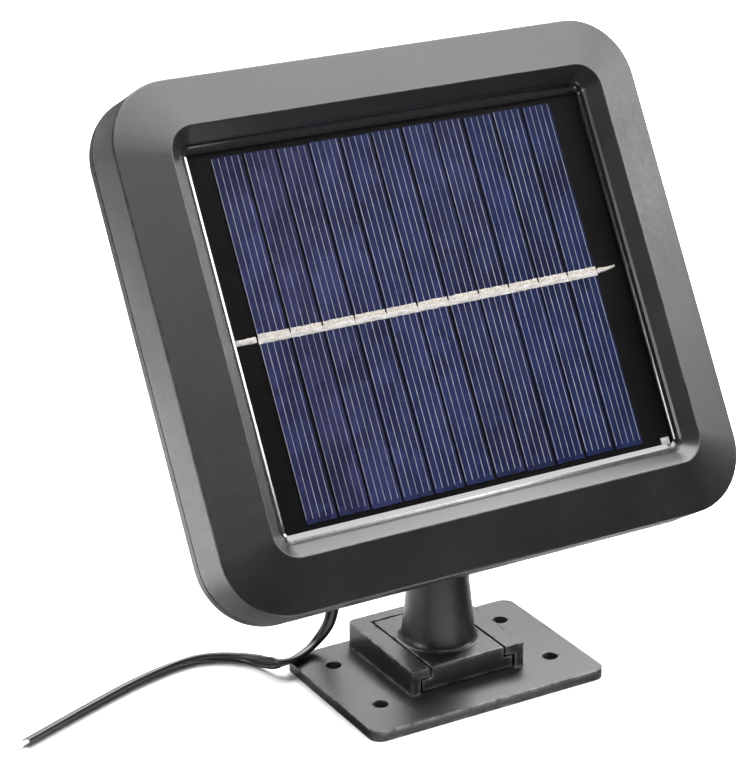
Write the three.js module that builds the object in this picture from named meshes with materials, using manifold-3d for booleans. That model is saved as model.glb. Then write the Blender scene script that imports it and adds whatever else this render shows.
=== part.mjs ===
// Solar panel unit of a garden flood light: a tilting panel housing on a slide-in stand, with its lead.
// Millimetres, +Z up. The origin is under the centre of the base plate, and the panel faces -Y.

import * as THREE from 'three';
import { mergeVertices } from 'three/addons/utils/BufferGeometryUtils.js';
import Module from 'manifold-3d';

const wasm = await Module();
wasm.setup();

// ---------------------------------------------------------------- driving dimensions

const GAP = 0.3; // between neighbouring pieces
const FILM_GAP = 0.1; // between the thin layers of the cell laminate
const RUNNING_GAP = 0.1; // radial, between a pin and its hole

const plate = { width: 75, depth: 51.5, thickness: 3, cornerRadius: 3.6 };
const mountingHole = { radius: 2.2, spacingX: 55.5, spacingY: 26.3, offsetY: 1.6 };

// The U-shaped socket on the plate: two rails with overhanging lips, closed at the back.
const socket = { halfWidth: 18.2, front: -12.4, back: 24.4, top: 10.2, cornerRadius: 2.4 };
const socketSlot = { halfWidth: 15.4, top: 7.5 };
const socketBackWall = 3.8;

// The T-shaped slide foot, and the tapered neck that stands on it.
const foot = { halfWidth: 11.8, tongueHalfWidth: 14.7, tongueTop: 6.9, frontGap: 0.3 };
const neck = { y: 3.9, topZ: 38, topRadius: 7.7, bottomRadius: 10.25, flareRadius: 11.6, flareHeight: 2.8 };
const neckBore = { bottomRadius: 8.1, topRadius: 5.7, webZ: 31 };

const spigot = { radius: 4, length: 7.9 };
const swivelScrew = { shankRadius: 1.9, headRadius: 3.4, headHeight: 2.2, depthInSpigot: 6.5 };
const crossRecess = { slotWidth: 0.8, depth: 1, reachShare: 0.6 };
const swivelWasher = { radius: 5.2, thickness: 1 };
const swivelCollar = { radius: 7.6, height: 4.2, chamfer: 0.8 };

const hinge = { z: 50, eyeRadius: 6.3, earRadius: 6.5, earFlare: 0.4, eyeHalfWidth: 4.2, earThickness: 4 };
const hingeBolt = { radius: 2.4, headRadius: 4.6, headHeight: 3.5, nutHeight: 4, tail: 1.8 };
const hingeWasher = { radius: 5, thickness: 1 };

// The panel leans back from upright. Its centre is a point on the face of the cells.
const REST_LEAN_DEG = 30.5;
const hingeToCentre = { up: 51.5, out: 26.8 };

// Panel heights (z) are counted outwards from the face of the cells.
const windowFoot = { halfWidth: 62.7, halfHeight: 53.6, cornerRadius: 3.3, top: 2.9, seat: 0.95 };
const windowBevel = 4;
const frameSlope = 14.1;
const lipZ = 7.25;
const creaseZ = 3.2;
const seamZ = -10.4;
const rearZ = -13.9;
const wall = 2.2;
const slopeSkin = 2.1;
const windowWall = 2;
const rearEdgeChamfer = 0.8;

const caseScrew = { shankRadius: 1.4, headRadius: 2.8, headHeight: 1.7, length: 9.6 };
const caseScrewPlaces = [
  [67.6, 58.6],
  [0, 61],
  [-67.6, 58.6],
  [-67.6, -58.6],
  [0, -61],
  [67.6, -58.6],
];
const screwBoss = { radius: 3, bottomZ: -9.3, topZ: 4.7, holeTopZ: -1, holeRadius: 1.5 };
const screwPost = { radius: 4.2, topZ: -9.6, clearRadius: 1.7, counterboreRadius: 3.2 };
const gasketSection = { width: 1.2, height: 1.4 };
const locatingRib = { thickness: 1.6, topZ: -8.2 };
const boardSupport = { halfWidth: 62, halfHeight: 52.8, cornerRadius: 3, thickness: 1.5 };

const board = { halfWidth: 64, halfHeight: 54.8, cornerRadius: 3, thickness: 1.3 };
const CELL_COUNT = 11;
const cell = { pitch: 9.687, gap: 0.42, height: 99.2, thickness: 0.3 };
const tab = { height: 2.6, centreY: 0.3, thickness: 0.2, endGap: 0.35 };
const ribbon = { length: 6, height: 2 };
const cornerPad = { x: 60.7, y: -51.4, width: 3.4, height: 1.9, cornerRadius: 0.3, thickness: 0.25 };
const bead = { width: 2.3, topWidth: 0.3, topZ: 2.85, rimZ: 1.15 };

const grommet = {
  x: -22,
  y: -42,
  neckRadius: 4,
  holeRadius: 4.2,
  flangeRadius: 5.6,
  innerFlangeHeight: 1.7,
  collarHeight: 2,
  tipRadius: 3.6,
  boot: 8.5,
};
const lead = { width: 4.1, thickness: 2.1, insideHeight: 3.5, groundGap: 0.25 };
const core = { radius: 0.55, bareLength: 3, hiddenLength: 4 };
const wire = { radius: 0.6, runX: 9, runY: 6, spread: 4, bulge: 0.6 };
const diode = { x: 6, y: -38, radius: 1.35, bodyLength: 5.2, leadRadius: 0.4, leadLength: 15 };

// The lead hangs from the panel, crosses the plate's back left corner and then lies on the ground.
const leadFall = [
  [-21.9, 14.5, 51],
  [-22, 20, 36],
  [-23, 22.3, 20],
  [-24.6, 23.4, 11.3],
  [-28.4, 24.1, 6],
  [-33.2, 22.8, 4.75],
  [-37.9, 21.8, 4.5],
  [-41, 23.6, 3.7],
  [-43, 27.2, 2.6],
];
const leadOnGround = [
  [-44.8, 31, 0.3],
  [-47.4, 34.6, 0],
  [-51.8, 38, 0],
  [-57.1, 40.2, 0],
  [-63.5, 40.4, 0],
  [-77.4, 37.1, 0],
  [-92.1, 31.6, 0],
  [-118.8, 20.4, 0],
];

const CORNER_SEGMENTS = 4;
const ROUND_SEGMENTS = 32;
const HOLE_SEGMENTS = 20;
const SMALL_SEGMENTS = 12;
const LEAD_STEPS = 72;

// How far joined solids reach into one another, and how far a cutting tool runs past what it cuts.
const JOIN = 0.5;
const PAST = 1;
const SEAM = 0.001;

// ---------------------------------------------------------------- worked-out dimensions

const lip = {
  halfWidth: windowFoot.halfWidth + windowBevel,
  halfHeight: windowFoot.halfHeight + windowBevel,
  cornerRadius: windowFoot.cornerRadius + windowBevel,
};
const crease = {
  halfWidth: lip.halfWidth + frameSlope,
  halfHeight: lip.halfHeight + frameSlope,
  cornerRadius: lip.cornerRadius + frameSlope,
};
const slopeRise = (lipZ - creaseZ) / frameSlope;
const boardTopZ = -2 * FILM_GAP - cell.thickness;
const rearFloorZ = rearZ + wall;
const rimTopZ = seamZ - GAP;
const slideBack = socket.back - socketBackWall;
const boardBackZ = boardTopZ - board.thickness;

// ---------------------------------------------------------------- solids and booleans

function toSolid(geometry) {
  const bare = geometry.clone();
  bare.deleteAttribute('normal');
  bare.deleteAttribute('uv');
  const merged = mergeVertices(bare);
  const corners = merged.index.array;
  const kept = [];
  for (let i = 0; i < corners.length; i += 3) {
    const [a, b, c] = [corners[i], corners[i + 1], corners[i + 2]];
    if (a !== b && b !== c && c !== a) kept.push(a, b, c);
  }
  return new wasm.Manifold(new wasm.Mesh({
    numProp: 3,
    vertProperties: new Float32Array(merged.attributes.position.array),
    triVerts: new Uint32Array(kept),
  }));
}

function toGeometry(solid) {
  const result = solid.getMesh();
  const geometry = new THREE.BufferGeometry();
  geometry.setAttribute('position', new THREE.BufferAttribute(result.vertProperties, 3));
  geometry.setIndex(new THREE.BufferAttribute(result.triVerts, 1));
  geometry.computeVertexNormals();
  return geometry;
}

// Adds the first list of geometries together, then cuts the second list out.
function combine(added, removed = []) {
  let solid = toSolid(added[0]);
  for (const extra of added.slice(1)) solid = solid.add(toSolid(extra));
  for (const tool of removed) solid = solid.subtract(toSolid(tool));
  return toGeometry(solid);
}

// ---------------------------------------------------------------- basic shapes

function roundedRectangle({ halfWidth, halfHeight, cornerRadius }) {
  const x = halfWidth - cornerRadius;
  const y = halfHeight - cornerRadius;
  const shape = new THREE.Shape();
  shape.moveTo(halfWidth, -y);
  shape.absarc(x, y, cornerRadius, 0, Math.PI / 2);
  shape.absarc(-x, y, cornerRadius, Math.PI / 2, Math.PI);
  shape.absarc(-x, -y, cornerRadius, Math.PI, 1.5 * Math.PI);
  shape.absarc(x, -y, cornerRadius, 1.5 * Math.PI, 2 * Math.PI);
  return shape;
}

function grown(outline, amount) {
  return {
    halfWidth: outline.halfWidth + amount,
    halfHeight: outline.halfHeight + amount,
    cornerRadius: outline.cornerRadius + amount,
  };
}

function prism(shape, bottom, top) {
  const settings = { depth: top - bottom, bevelEnabled: false, curveSegments: CORNER_SEGMENTS };
  return new THREE.ExtrudeGeometry(shape, settings).translate(0, 0, bottom);
}

function slab(outline, bottom, top) {
  return prism(roundedRectangle(outline), bottom, top);
}

// A slab whose top outline is grown by topGrowth: each vertex moves straight out from its corner's centre.
function taperedSlab(outline, bottom, top, topGrowth) {
  const geometry = slab(outline, bottom, top);
  const place = geometry.attributes.position;
  const centreX = outline.halfWidth - outline.cornerRadius;
  const centreY = outline.halfHeight - outline.cornerRadius;
  const middle = (bottom + top) / 2;
  const factor = (outline.cornerRadius + topGrowth) / outline.cornerRadius;
  for (let i = 0; i < place.count; i += 1) {
    if (place.getZ(i) < middle) continue;
    const cx = Math.sign(place.getX(i)) * centreX;
    const cy = Math.sign(place.getY(i)) * centreY;
    place.setX(i, cx + (place.getX(i) - cx) * factor);
    place.setY(i, cy + (place.getY(i) - cy) * factor);
  }
  return geometry;
}

function ring(outline, thickness, bottom, top) {
  return combine([slab(outline, bottom, top)], [slab(grown(outline, -thickness), bottom - PAST, top + PAST)]);
}

function box(xMin, xMax, yMin, yMax, zMin, zMax) {
  return new THREE.BoxGeometry(xMax - xMin, yMax - yMin, zMax - zMin)
    .translate((xMin + xMax) / 2, (yMin + yMax) / 2, (zMin + zMax) / 2);
}

function postZ(radius, bottom, top, x = 0, y = 0, segments = ROUND_SEGMENTS) {
  return new THREE.CylinderGeometry(radius, radius, top - bottom, segments)
    .rotateX(Math.PI / 2)
    .translate(x, y, (bottom + top) / 2);
}

function rodX(radius, left, right, segments = ROUND_SEGMENTS) {
  return new THREE.CylinderGeometry(radius, radius, right - left, segments)
    .rotateZ(Math.PI / 2)
    .translate((left + right) / 2, 0, 0);
}

// Turns a profile of [radius, z] points round the Z axis.
function turned(profile) {
  const points = profile.map(([radius, z]) => new THREE.Vector2(radius, z));
  return new THREE.LatheGeometry(points, ROUND_SEGMENTS).rotateX(Math.PI / 2);
}

// A shape drawn in the YZ plane and given thickness along X.
function cheek(shape, left, right) {
  const settings = { depth: right - left, bevelEnabled: false, curveSegments: 2 * CORNER_SEGMENTS };
  const geometry = new THREE.ExtrudeGeometry(shape, settings);
  geometry.rotateX(Math.PI / 2);
  geometry.rotateZ(Math.PI / 2);
  return geometry.translate(left, 0, 0);
}

function stadium(width, thickness) {
  const round = thickness / 2;
  const shape = new THREE.Shape();
  shape.moveTo(width / 2 - round, -round);
  shape.absarc(width / 2 - round, 0, round, -Math.PI / 2, Math.PI / 2);
  shape.absarc(round - width / 2, 0, round, Math.PI / 2, 1.5 * Math.PI);
  return shape;
}

function tube(section, path, steps) {
  return new THREE.ExtrudeGeometry(section, { steps, extrudePath: path, curveSegments: 3 });
}

function disc(radius) {
  return new THREE.Shape().absarc(0, 0, radius, 0, 2 * Math.PI);
}

// ---------------------------------------------------------------- materials and naming

function plastic(color, roughness) {
  return new THREE.MeshStandardMaterial({ color, roughness, metalness: 0 });
}

function metal(color, roughness) {
  return new THREE.MeshStandardMaterial({ color, roughness, metalness: 1 });
}

const materials = {
  housing: plastic(0x343536, 0.5),
  stand: plastic(0x303132, 0.48),
  rubber: plastic(0x17181a, 0.7),
  jacket: plastic(0x1b1c1e, 0.45),
  board: plastic(0x101114, 0.4),
  cell: new THREE.MeshStandardMaterial({ color: 0x2a2f5e, roughness: 0.3, metalness: 0.2 }),
  tin: metal(0xc9c2b4, 0.38),
  resin: new THREE.MeshStandardMaterial({
    color: 0xf4f6fa,
    roughness: 0.06,
    transparent: true,
    opacity: 0.2,
  }),
  bead: plastic(0x1a1a1a, 0.12),
  steel: metal(0xb4b6b8, 0.32),
  diode: plastic(0x1c1c1e, 0.35),
  red: plastic(0xa3201c, 0.5),
  black: plastic(0x141414, 0.5),
};

function named(name, geometry, material) {
  const mesh = new THREE.Mesh(geometry, material);
  mesh.name = name;
  return mesh;
}

// ---------------------------------------------------------------- base plate and its socket

function basePlate() {
  const { width, depth, cornerRadius } = plate;
  const outline = { halfWidth: width / 2, halfHeight: depth / 2, cornerRadius };
  const socketDepth = socket.back - socket.front;
  const socketMiddle = (socket.back + socket.front) / 2;
  const block = {
    halfWidth: socket.halfWidth,
    halfHeight: socketDepth / 2,
    cornerRadius: socket.cornerRadius,
  };
  const frontCut = socket.front - PAST;
  const root = plate.thickness - JOIN;
  const joined = [
    slab(outline, 0, plate.thickness),
    slab(block, root, socket.top).translate(0, socketMiddle, 0),
    box(-socket.halfWidth, socket.halfWidth, socket.front, 0, root, socket.top),
  ];
  const slotHalf = socketSlot.halfWidth;
  const channelHalf = foot.halfWidth + 2 * GAP;
  const cuts = [
    box(-slotHalf, slotHalf, frontCut, slideBack, plate.thickness, socketSlot.top),
    box(-channelHalf, channelHalf, frontCut, slideBack, plate.thickness, socket.top + PAST),
  ];
  for (const sideX of [-1, 1]) {
    for (const sideY of [-1, 1]) {
      const x = sideX * mountingHole.spacingX / 2;
      const y = mountingHole.offsetY + sideY * mountingHole.spacingY / 2;
      const topZ = plate.thickness + PAST;
      cuts.push(postZ(mountingHole.radius, -PAST, topZ, x, y, HOLE_SEGMENTS));
    }
  }
  return named('base_plate', combine(joined, cuts), materials.stand);
}

// ---------------------------------------------------------------- stand: slide foot and neck

function neckPost() {
  const footFront = socket.front + foot.frontGap;
  const footBack = slideBack - 2 * GAP;
  const footBottom = plate.thickness + GAP;
  const flareTop = socket.top + neck.flareHeight;
  const outside = turned([
    [0, socket.top - JOIN],
    [neck.flareRadius, socket.top - JOIN],
    [neck.flareRadius, socket.top],
    [(neck.flareRadius + neck.bottomRadius) / 2, socket.top + neck.flareHeight / 3],
    [neck.bottomRadius, flareTop],
    [neck.topRadius, neck.topZ],
    [0, neck.topZ],
  ]);
  const hollow = turned([
    [0, footBottom - PAST],
    [neckBore.bottomRadius, footBottom - PAST],
    [neckBore.bottomRadius, socket.top],
    [neckBore.topRadius, neckBore.webZ],
    [0, neckBore.webZ],
  ]);
  const spigotHole = postZ(spigot.radius + RUNNING_GAP, neckBore.webZ - PAST, neck.topZ + PAST);
  const joined = [
    box(-foot.halfWidth, foot.halfWidth, footFront, footBack, footBottom, socket.top),
    box(-foot.tongueHalfWidth, foot.tongueHalfWidth, footFront, footBack, footBottom, foot.tongueTop),
    outside.translate(0, neck.y, 0),
  ];
  const cuts = [hollow.translate(0, neck.y, 0), spigotHole.translate(0, neck.y, 0)];
  return named('neck_post', combine(joined, cuts), materials.stand);
}

// ---------------------------------------------------------------- swivel head with the hinge eye

const collarBottom = neck.topZ + GAP;
const spigotBottom = collarBottom - spigot.length;
const screwTop = spigotBottom + swivelScrew.depthInSpigot;

function swivelHead() {
  const collarTop = collarBottom + swivelCollar.height;
  const collar = turned([
    [0, spigotBottom],
    [spigot.radius, spigotBottom],
    [spigot.radius, collarBottom],
    [swivelCollar.radius, collarBottom],
    [swivelCollar.radius, collarTop - swivelCollar.chamfer],
    [swivelCollar.radius - swivelCollar.chamfer, collarTop],
    [0, collarTop],
  ]);
  const lugBottom = collarTop - JOIN - hinge.z;
  const lug = new THREE.Shape();
  lug.moveTo(-hinge.eyeRadius, lugBottom);
  lug.lineTo(hinge.eyeRadius, lugBottom);
  lug.absarc(0, 0, hinge.eyeRadius, 0, Math.PI);
  const joined = [collar, cheek(lug, -hinge.eyeHalfWidth, hinge.eyeHalfWidth).translate(0, 0, hinge.z)];
  const cuts = [
    rodX(hingeBolt.radius + RUNNING_GAP, -hinge.eyeHalfWidth - PAST, hinge.eyeHalfWidth + PAST)
      .translate(0, 0, hinge.z),
    postZ(swivelScrew.shankRadius + RUNNING_GAP, spigotBottom - PAST, screwTop + GAP, 0, 0, HOLE_SEGMENTS),
  ];
  return named('swivel_head', combine(joined, cuts).translate(0, neck.y, 0), materials.stand);
}

const washerTop = Math.min(spigotBottom, neckBore.webZ) - GAP;
const washerBottom = washerTop - swivelWasher.thickness;

function swivelWasherPiece() {
  const outer = postZ(swivelWasher.radius, washerBottom, washerTop);
  const holeRadius = swivelScrew.shankRadius + RUNNING_GAP;
  const hole = postZ(holeRadius, washerBottom - PAST, washerTop + PAST, 0, 0, HOLE_SEGMENTS);
  return named('swivel_washer', combine([outer], [hole]).translate(0, neck.y, 0), materials.steel);
}

// The two slots of a cross recess, cut upwards into the underside of a screw head.
function crossSlots(x, y, headBottom, headRadius) {
  const reach = headRadius * crossRecess.reachShare;
  const half = crossRecess.slotWidth / 2;
  const [bottom, top] = [headBottom - PAST, headBottom + crossRecess.depth];
  return [
    box(x - reach, x + reach, y - half, y + half, bottom, top),
    box(x - half, x + half, y - reach, y + reach, bottom, top),
  ];
}

function swivelScrewPiece() {
  const headTop = washerBottom - GAP;
  const headBottom = headTop - swivelScrew.headHeight;
  const shank = postZ(swivelScrew.shankRadius, headTop - JOIN, screwTop, 0, 0, HOLE_SEGMENTS);
  const head = postZ(swivelScrew.headRadius, headBottom, headTop, 0, 0, HOLE_SEGMENTS);
  const screw = combine([shank, head], crossSlots(0, 0, headBottom, swivelScrew.headRadius));
  return named('swivel_screw', screw.translate(0, neck.y, 0), materials.steel);
}

// ---------------------------------------------------------------- front bezel

function frontBezel() {
  const body = slab(crease, seamZ, creaseZ);
  const slope = taperedSlab(crease, creaseZ - SEAM, lipZ, -frameSlope);
  const throughWindow = slab(windowFoot, seamZ - PAST, lipZ + PAST);
  const windowFunnel = taperedSlab(windowFoot, windowFoot.top, lipZ + JOIN, windowBevel * bevelOverrun());

  const inside = grown(crease, -wall);
  const insideTop = creaseZ + wall * slopeRise - slopeSkin;
  const insideSlope = frameSlope - wall;
  const cavity = combine([
    slab(inside, seamZ - PAST, insideTop),
    taperedSlab(inside, insideTop - SEAM, insideTop + insideSlope * slopeRise, -insideSlope),
  ]);
  const innerWall = grown(windowFoot, windowWall);
  const kept = [
    slab(innerWall, windowFoot.seat, windowFoot.top),
    taperedSlab(innerWall, windowFoot.top - SEAM, lipZ, windowBevel),
  ];
  for (const [x, y] of caseScrewPlaces) {
    kept.push(postZ(screwBoss.radius, screwBoss.bottomZ, screwBoss.topZ, x, y, HOLE_SEGMENTS));
  }
  const screwHoles = caseScrewPlaces.map(([x, y]) => (
    postZ(screwBoss.holeRadius, screwBoss.bottomZ - PAST, screwBoss.holeTopZ, x, y, SMALL_SEGMENTS)
  ));
  const hollow = combine([cavity], kept);
  const geometry = combine([body, slope], [hollow, throughWindow, windowFunnel, ...screwHoles]);
  return named('front_bezel', geometry, materials.housing);
}

// The funnel that cuts the window's bevel runs a little past the lip, so it grows a little more.
function bevelOverrun() {
  return (lipZ + JOIN - windowFoot.top) / (lipZ - windowFoot.top);
}

// ---------------------------------------------------------------- rear cover with hinge ears

const earInner = hinge.eyeHalfWidth + GAP;
const earOuter = earInner + hinge.earThickness;

// The ear in the panel's own YZ plane, centred on the hinge, reaching up to the rear cover.
function hingeEar(left) {
  const reach = hingeToCentre.out + rearZ + JOIN;
  const halfRoot = hinge.earRadius + hinge.earFlare;
  const outline = new THREE.Shape();
  outline.moveTo(halfRoot, reach);
  outline.lineTo(-halfRoot, reach);
  outline.lineTo(-hinge.earRadius, 0);
  outline.absarc(0, 0, hinge.earRadius, Math.PI, 2 * Math.PI);
  return cheek(outline, left, left + hinge.earThickness).translate(0, -hingeToCentre.up, -hingeToCentre.out);
}

function rearCover() {
  const rim = [
    taperedSlab(grown(crease, -rearEdgeChamfer), rearZ, rearZ + rearEdgeChamfer, rearEdgeChamfer),
    slab(crease, rearZ + rearEdgeChamfer - SEAM, rimTopZ),
  ];
  const tray = combine(rim, [slab(grown(crease, -wall), rearFloorZ, rimTopZ + PAST)]);
  const ribOutline = grown(crease, -wall - gasketSection.width - 2 * GAP);
  const root = rearFloorZ - JOIN;
  const added = [
    tray,
    ring(ribOutline, locatingRib.thickness, root, locatingRib.topZ),
    ring(boardSupport, boardSupport.thickness, root, boardBackZ - GAP),
    hingeEar(earInner),
    hingeEar(-earOuter),
    bottomLedge(ribOutline),
  ];
  const cuts = [
    rodX(hingeBolt.radius + RUNNING_GAP, -earOuter - PAST, earOuter + PAST)
      .translate(0, -hingeToCentre.up, -hingeToCentre.out),
    postZ(grommet.holeRadius, rearZ - PAST, rearFloorZ + PAST, grommet.x, grommet.y, HOLE_SEGMENTS),
  ];
  for (const [x, y] of caseScrewPlaces) {
    added.push(postZ(screwPost.radius, root, screwPost.topZ, x, y, HOLE_SEGMENTS));
    cuts.push(postZ(screwPost.counterboreRadius, rearZ - PAST, rearFloorZ, x, y, HOLE_SEGMENTS));
    cuts.push(postZ(screwPost.clearRadius, rearZ - PAST, screwPost.topZ + PAST, x, y, SMALL_SEGMENTS));
  }
  return named('rear_cover', combine(added, cuts), materials.housing);
}

// The shelf between the rim and the locating rib, which the gasket lies on.
function bottomLedge(ribOutline) {
  const outline = grown(crease, -wall / 2);
  const thickness = outline.halfWidth - ribOutline.halfWidth + locatingRib.thickness / 2;
  return ring(outline, thickness, rearFloorZ - JOIN, rimTopZ);
}

function caseGasket() {
  const outline = grown(crease, -wall - GAP);
  const geometry = ring(outline, gasketSection.width, seamZ, seamZ + gasketSection.height);
  return named('case_gasket', geometry, materials.rubber);
}

function caseScrewPiece(index, x, y) {
  const headBottom = rearFloorZ - FILM_GAP - caseScrew.headHeight;
  const headTop = headBottom + caseScrew.headHeight;
  const parts = [
    postZ(caseScrew.headRadius, headBottom, headTop, x, y, HOLE_SEGMENTS),
    postZ(caseScrew.shankRadius, headTop - JOIN, headTop + caseScrew.length, x, y, SMALL_SEGMENTS),
  ];
  const slots = crossSlots(x, y, headBottom, caseScrew.headRadius);
  return named(`case_screw_${index + 1}`, combine(parts, slots), materials.steel);
}

// ---------------------------------------------------------------- cell laminate and sealing bead

function backingBoard() {
  return named('pv_backboard', slab(board, boardBackZ, boardTopZ), materials.board);
}

function twoDigits(number) {
  return String(number).padStart(2, '0');
}

function cellStrip(index) {
  const x = (index - (CELL_COUNT - 1) / 2) * cell.pitch;
  const halfWidth = (cell.pitch - cell.gap) / 2;
  const bottom = -FILM_GAP - cell.thickness;
  const geometry = box(x - halfWidth, x + halfWidth, -cell.height / 2, cell.height / 2, bottom, -FILM_GAP);
  return named(`solar_cell_${twoDigits(index + 1)}`, geometry, materials.cell);
}

function cellTab(index) {
  const x = (index - (CELL_COUNT - 1) / 2) * cell.pitch;
  const halfWidth = (cell.pitch - tab.endGap) / 2;
  const bottom = tab.centreY - tab.height / 2;
  const geometry = box(x - halfWidth, x + halfWidth, bottom, bottom + tab.height, 0, tab.thickness);
  return named(`tab_${twoDigits(index + 1)}`, geometry, materials.tin);
}

function endRibbon(name, side) {
  const start = side * (CELL_COUNT * cell.pitch / 2 + GAP);
  const end = start + side * ribbon.length;
  const bottom = tab.centreY - ribbon.height / 2;
  const [left, right] = [Math.min(start, end), Math.max(start, end)];
  return named(name, box(left, right, bottom, bottom + ribbon.height, 0, tab.thickness), materials.tin);
}

function cornerPadPiece() {
  const { width, height, cornerRadius, thickness } = cornerPad;
  const outline = { halfWidth: width / 2, halfHeight: height / 2, cornerRadius };
  const bottom = boardTopZ + FILM_GAP;
  const geometry = slab(outline, bottom, bottom + thickness).translate(cornerPad.x, cornerPad.y, 0);
  return named('corner_pad', geometry, materials.tin);
}

function clearResin() {
  const bottom = tab.thickness + FILM_GAP / 2;
  return named('clear_resin', slab(board, bottom, windowFoot.seat - FILM_GAP), materials.resin);
}

function sealBead() {
  const outline = grown(windowFoot, -GAP);
  const opening = grown(outline, -bead.width);
  const outer = [slab(outline, windowFoot.seat, bead.topZ)];
  const inner = [
    slab(opening, windowFoot.seat - PAST, bead.rimZ),
    taperedSlab(opening, bead.rimZ - SEAM, bead.topZ + FILM_GAP, bead.width - bead.topWidth),
  ];
  return named('seal_bead', combine(outer, inner), materials.bead);
}

// ---------------------------------------------------------------- behind the board

function blockingDiode() {
  const z = boardBackZ - GAP - diode.radius;
  const body = rodX(diode.radius, -diode.bodyLength / 2, diode.bodyLength / 2, HOLE_SEGMENTS);
  const leads = rodX(diode.leadRadius, -diode.leadLength / 2, diode.leadLength / 2, SMALL_SEGMENTS);
  const geometry = combine([body, leads]).translate(diode.x, diode.y, z);
  return named('blocking_diode', geometry, materials.diode);
}

const leadInsideZ = rearFloorZ + lead.insideHeight;

// A wire rises from the lead's end and turns to lie against the back of the board.
function internalWire(name, side, material) {
  const start = new THREE.Vector3(grommet.x, grommet.y + side * lead.width / 4, leadInsideZ + GAP);
  const endY = grommet.y + wire.runY + side * wire.spread;
  const end = new THREE.Vector3(grommet.x + wire.runX, endY, boardBackZ - GAP - wire.radius);
  const middle = start.clone().lerp(end, 0.3).setZ((start.z + end.z) / 2 + wire.bulge);
  const beforeEnd = start.clone().lerp(end, 0.7).setZ(end.z);
  const path = new THREE.CatmullRomCurve3([start, middle, beforeEnd, end]);
  return named(name, tube(disc(wire.radius), path, SMALL_SEGMENTS), material);
}

// ---------------------------------------------------------------- grommet and lead

function cableGrommet() {
  const outside = turned([
    [0, rearFloorZ + GAP],
    [grommet.flangeRadius, rearFloorZ + GAP],
    [grommet.flangeRadius - GAP, rearFloorZ + grommet.innerFlangeHeight],
    [0, rearFloorZ + grommet.innerFlangeHeight],
  ]);
  const boot = turned([
    [0, rearZ - grommet.boot],
    [grommet.tipRadius, rearZ - grommet.boot],
    [grommet.flangeRadius - PAST, rearZ - grommet.collarHeight - JOIN],
    [grommet.flangeRadius, rearZ - grommet.collarHeight],
    [grommet.flangeRadius, rearZ - GAP],
    [0, rearZ - GAP],
  ]);
  const neckPart = postZ(grommet.neckRadius, rearZ - JOIN, rearFloorZ + JOIN, 0, 0, HOLE_SEGMENTS);
  const boreSection = stadium(lead.width + 2 * FILM_GAP, lead.thickness + 2 * FILM_GAP);
  const boreEnds = [rearZ - grommet.boot - PAST, rearFloorZ + grommet.innerFlangeHeight + PAST];
  const bore = prism(boreSection, ...boreEnds).rotateZ(Math.PI / 2);
  const geometry = combine([outside, boot, neckPart], [bore]).translate(grommet.x, grommet.y, 0);
  return named('cable_grommet', geometry, materials.rubber);
}

// Panel coordinates to the frame of the whole object.
const tilt = THREE.MathUtils.degToRad(90 - REST_LEAN_DEG);

function panelPoint(x, y, z) {
  return new THREE.Vector3(x, y + hingeToCentre.up, z + hingeToCentre.out)
    .applyAxisAngle(new THREE.Vector3(1, 0, 0), tilt)
    .add(new THREE.Vector3(0, neck.y, hinge.z));
}

// The lead leaves the grommet straight, falls to the plate and then lies on the ground.
function leadPoints() {
  const restZ = lead.thickness / 2 + lead.groundGap;
  const straightEnds = [JOIN, JOIN + 3 * PAST].map((past) => rearZ - grommet.boot - past);
  return [
    ...[leadInsideZ, rearZ, ...straightEnds].map((z) => panelPoint(grommet.x, grommet.y, z)),
    ...leadFall.map((place) => new THREE.Vector3(...place)),
    ...leadOnGround.map(([x, y, rise]) => new THREE.Vector3(x, y, restZ + rise)),
  ];
}

// Turns the lead's section a quarter turn about its path, so that the flat lead lies flat on the ground.
class TwistedPath extends THREE.CatmullRomCurve3 {
  computeFrenetFrames(segments, closed) {
    const frames = super.computeFrenetFrames(segments, closed);
    for (let i = 0; i <= segments; i += 1) {
      frames.normals[i].applyAxisAngle(frames.tangents[i], -Math.PI / 2);
      frames.binormals[i].applyAxisAngle(frames.tangents[i], -Math.PI / 2);
    }
    return frames;
  }
}

function leadCable() {
  const path = new TwistedPath(leadPoints(), false, 'centripetal');
  const jacket = tube(stadium(lead.width, lead.thickness), path, LEAD_STEPS);
  const coreHoles = coreEnds(core.radius + RUNNING_GAP);
  return named('lead_cable', combine([jacket], coreHoles), materials.jacket);
}

function coreEnd(side, radius) {
  const path = new THREE.CatmullRomCurve3(leadPoints(), false, 'centripetal');
  const tip = path.getPoint(1);
  const along = path.getTangent(1);
  const across = new THREE.Vector3(-along.y, along.x, 0).normalize();
  const length = core.bareLength + core.hiddenLength;
  const rod = new THREE.CylinderGeometry(radius, radius, length, SMALL_SEGMENTS);
  const place = new THREE.Matrix4().makeBasis(across, along, new THREE.Vector3().crossVectors(across, along));
  const centre = tip.clone()
    .addScaledVector(along, core.bareLength - length / 2)
    .addScaledVector(across, side * (lead.width - lead.thickness) / 2);
  return rod.applyMatrix4(place.setPosition(centre));
}

function coreEnds(radius) {
  return [-1, 1].map((side) => coreEnd(side, radius));
}

// ---------------------------------------------------------------- hinge fasteners

function hingeBoltPiece() {
  const headInner = -earOuter - hingeWasher.thickness - 2 * GAP;
  const right = earOuter + hingeWasher.thickness + 2 * GAP + hingeBolt.nutHeight + hingeBolt.tail;
  const head = rodX(hingeBolt.headRadius, headInner - hingeBolt.headHeight, headInner, 6);
  const shank = rodX(hingeBolt.radius, headInner - JOIN, right);
  return named('hinge_bolt', combine([head, shank]), materials.steel);
}

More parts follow.
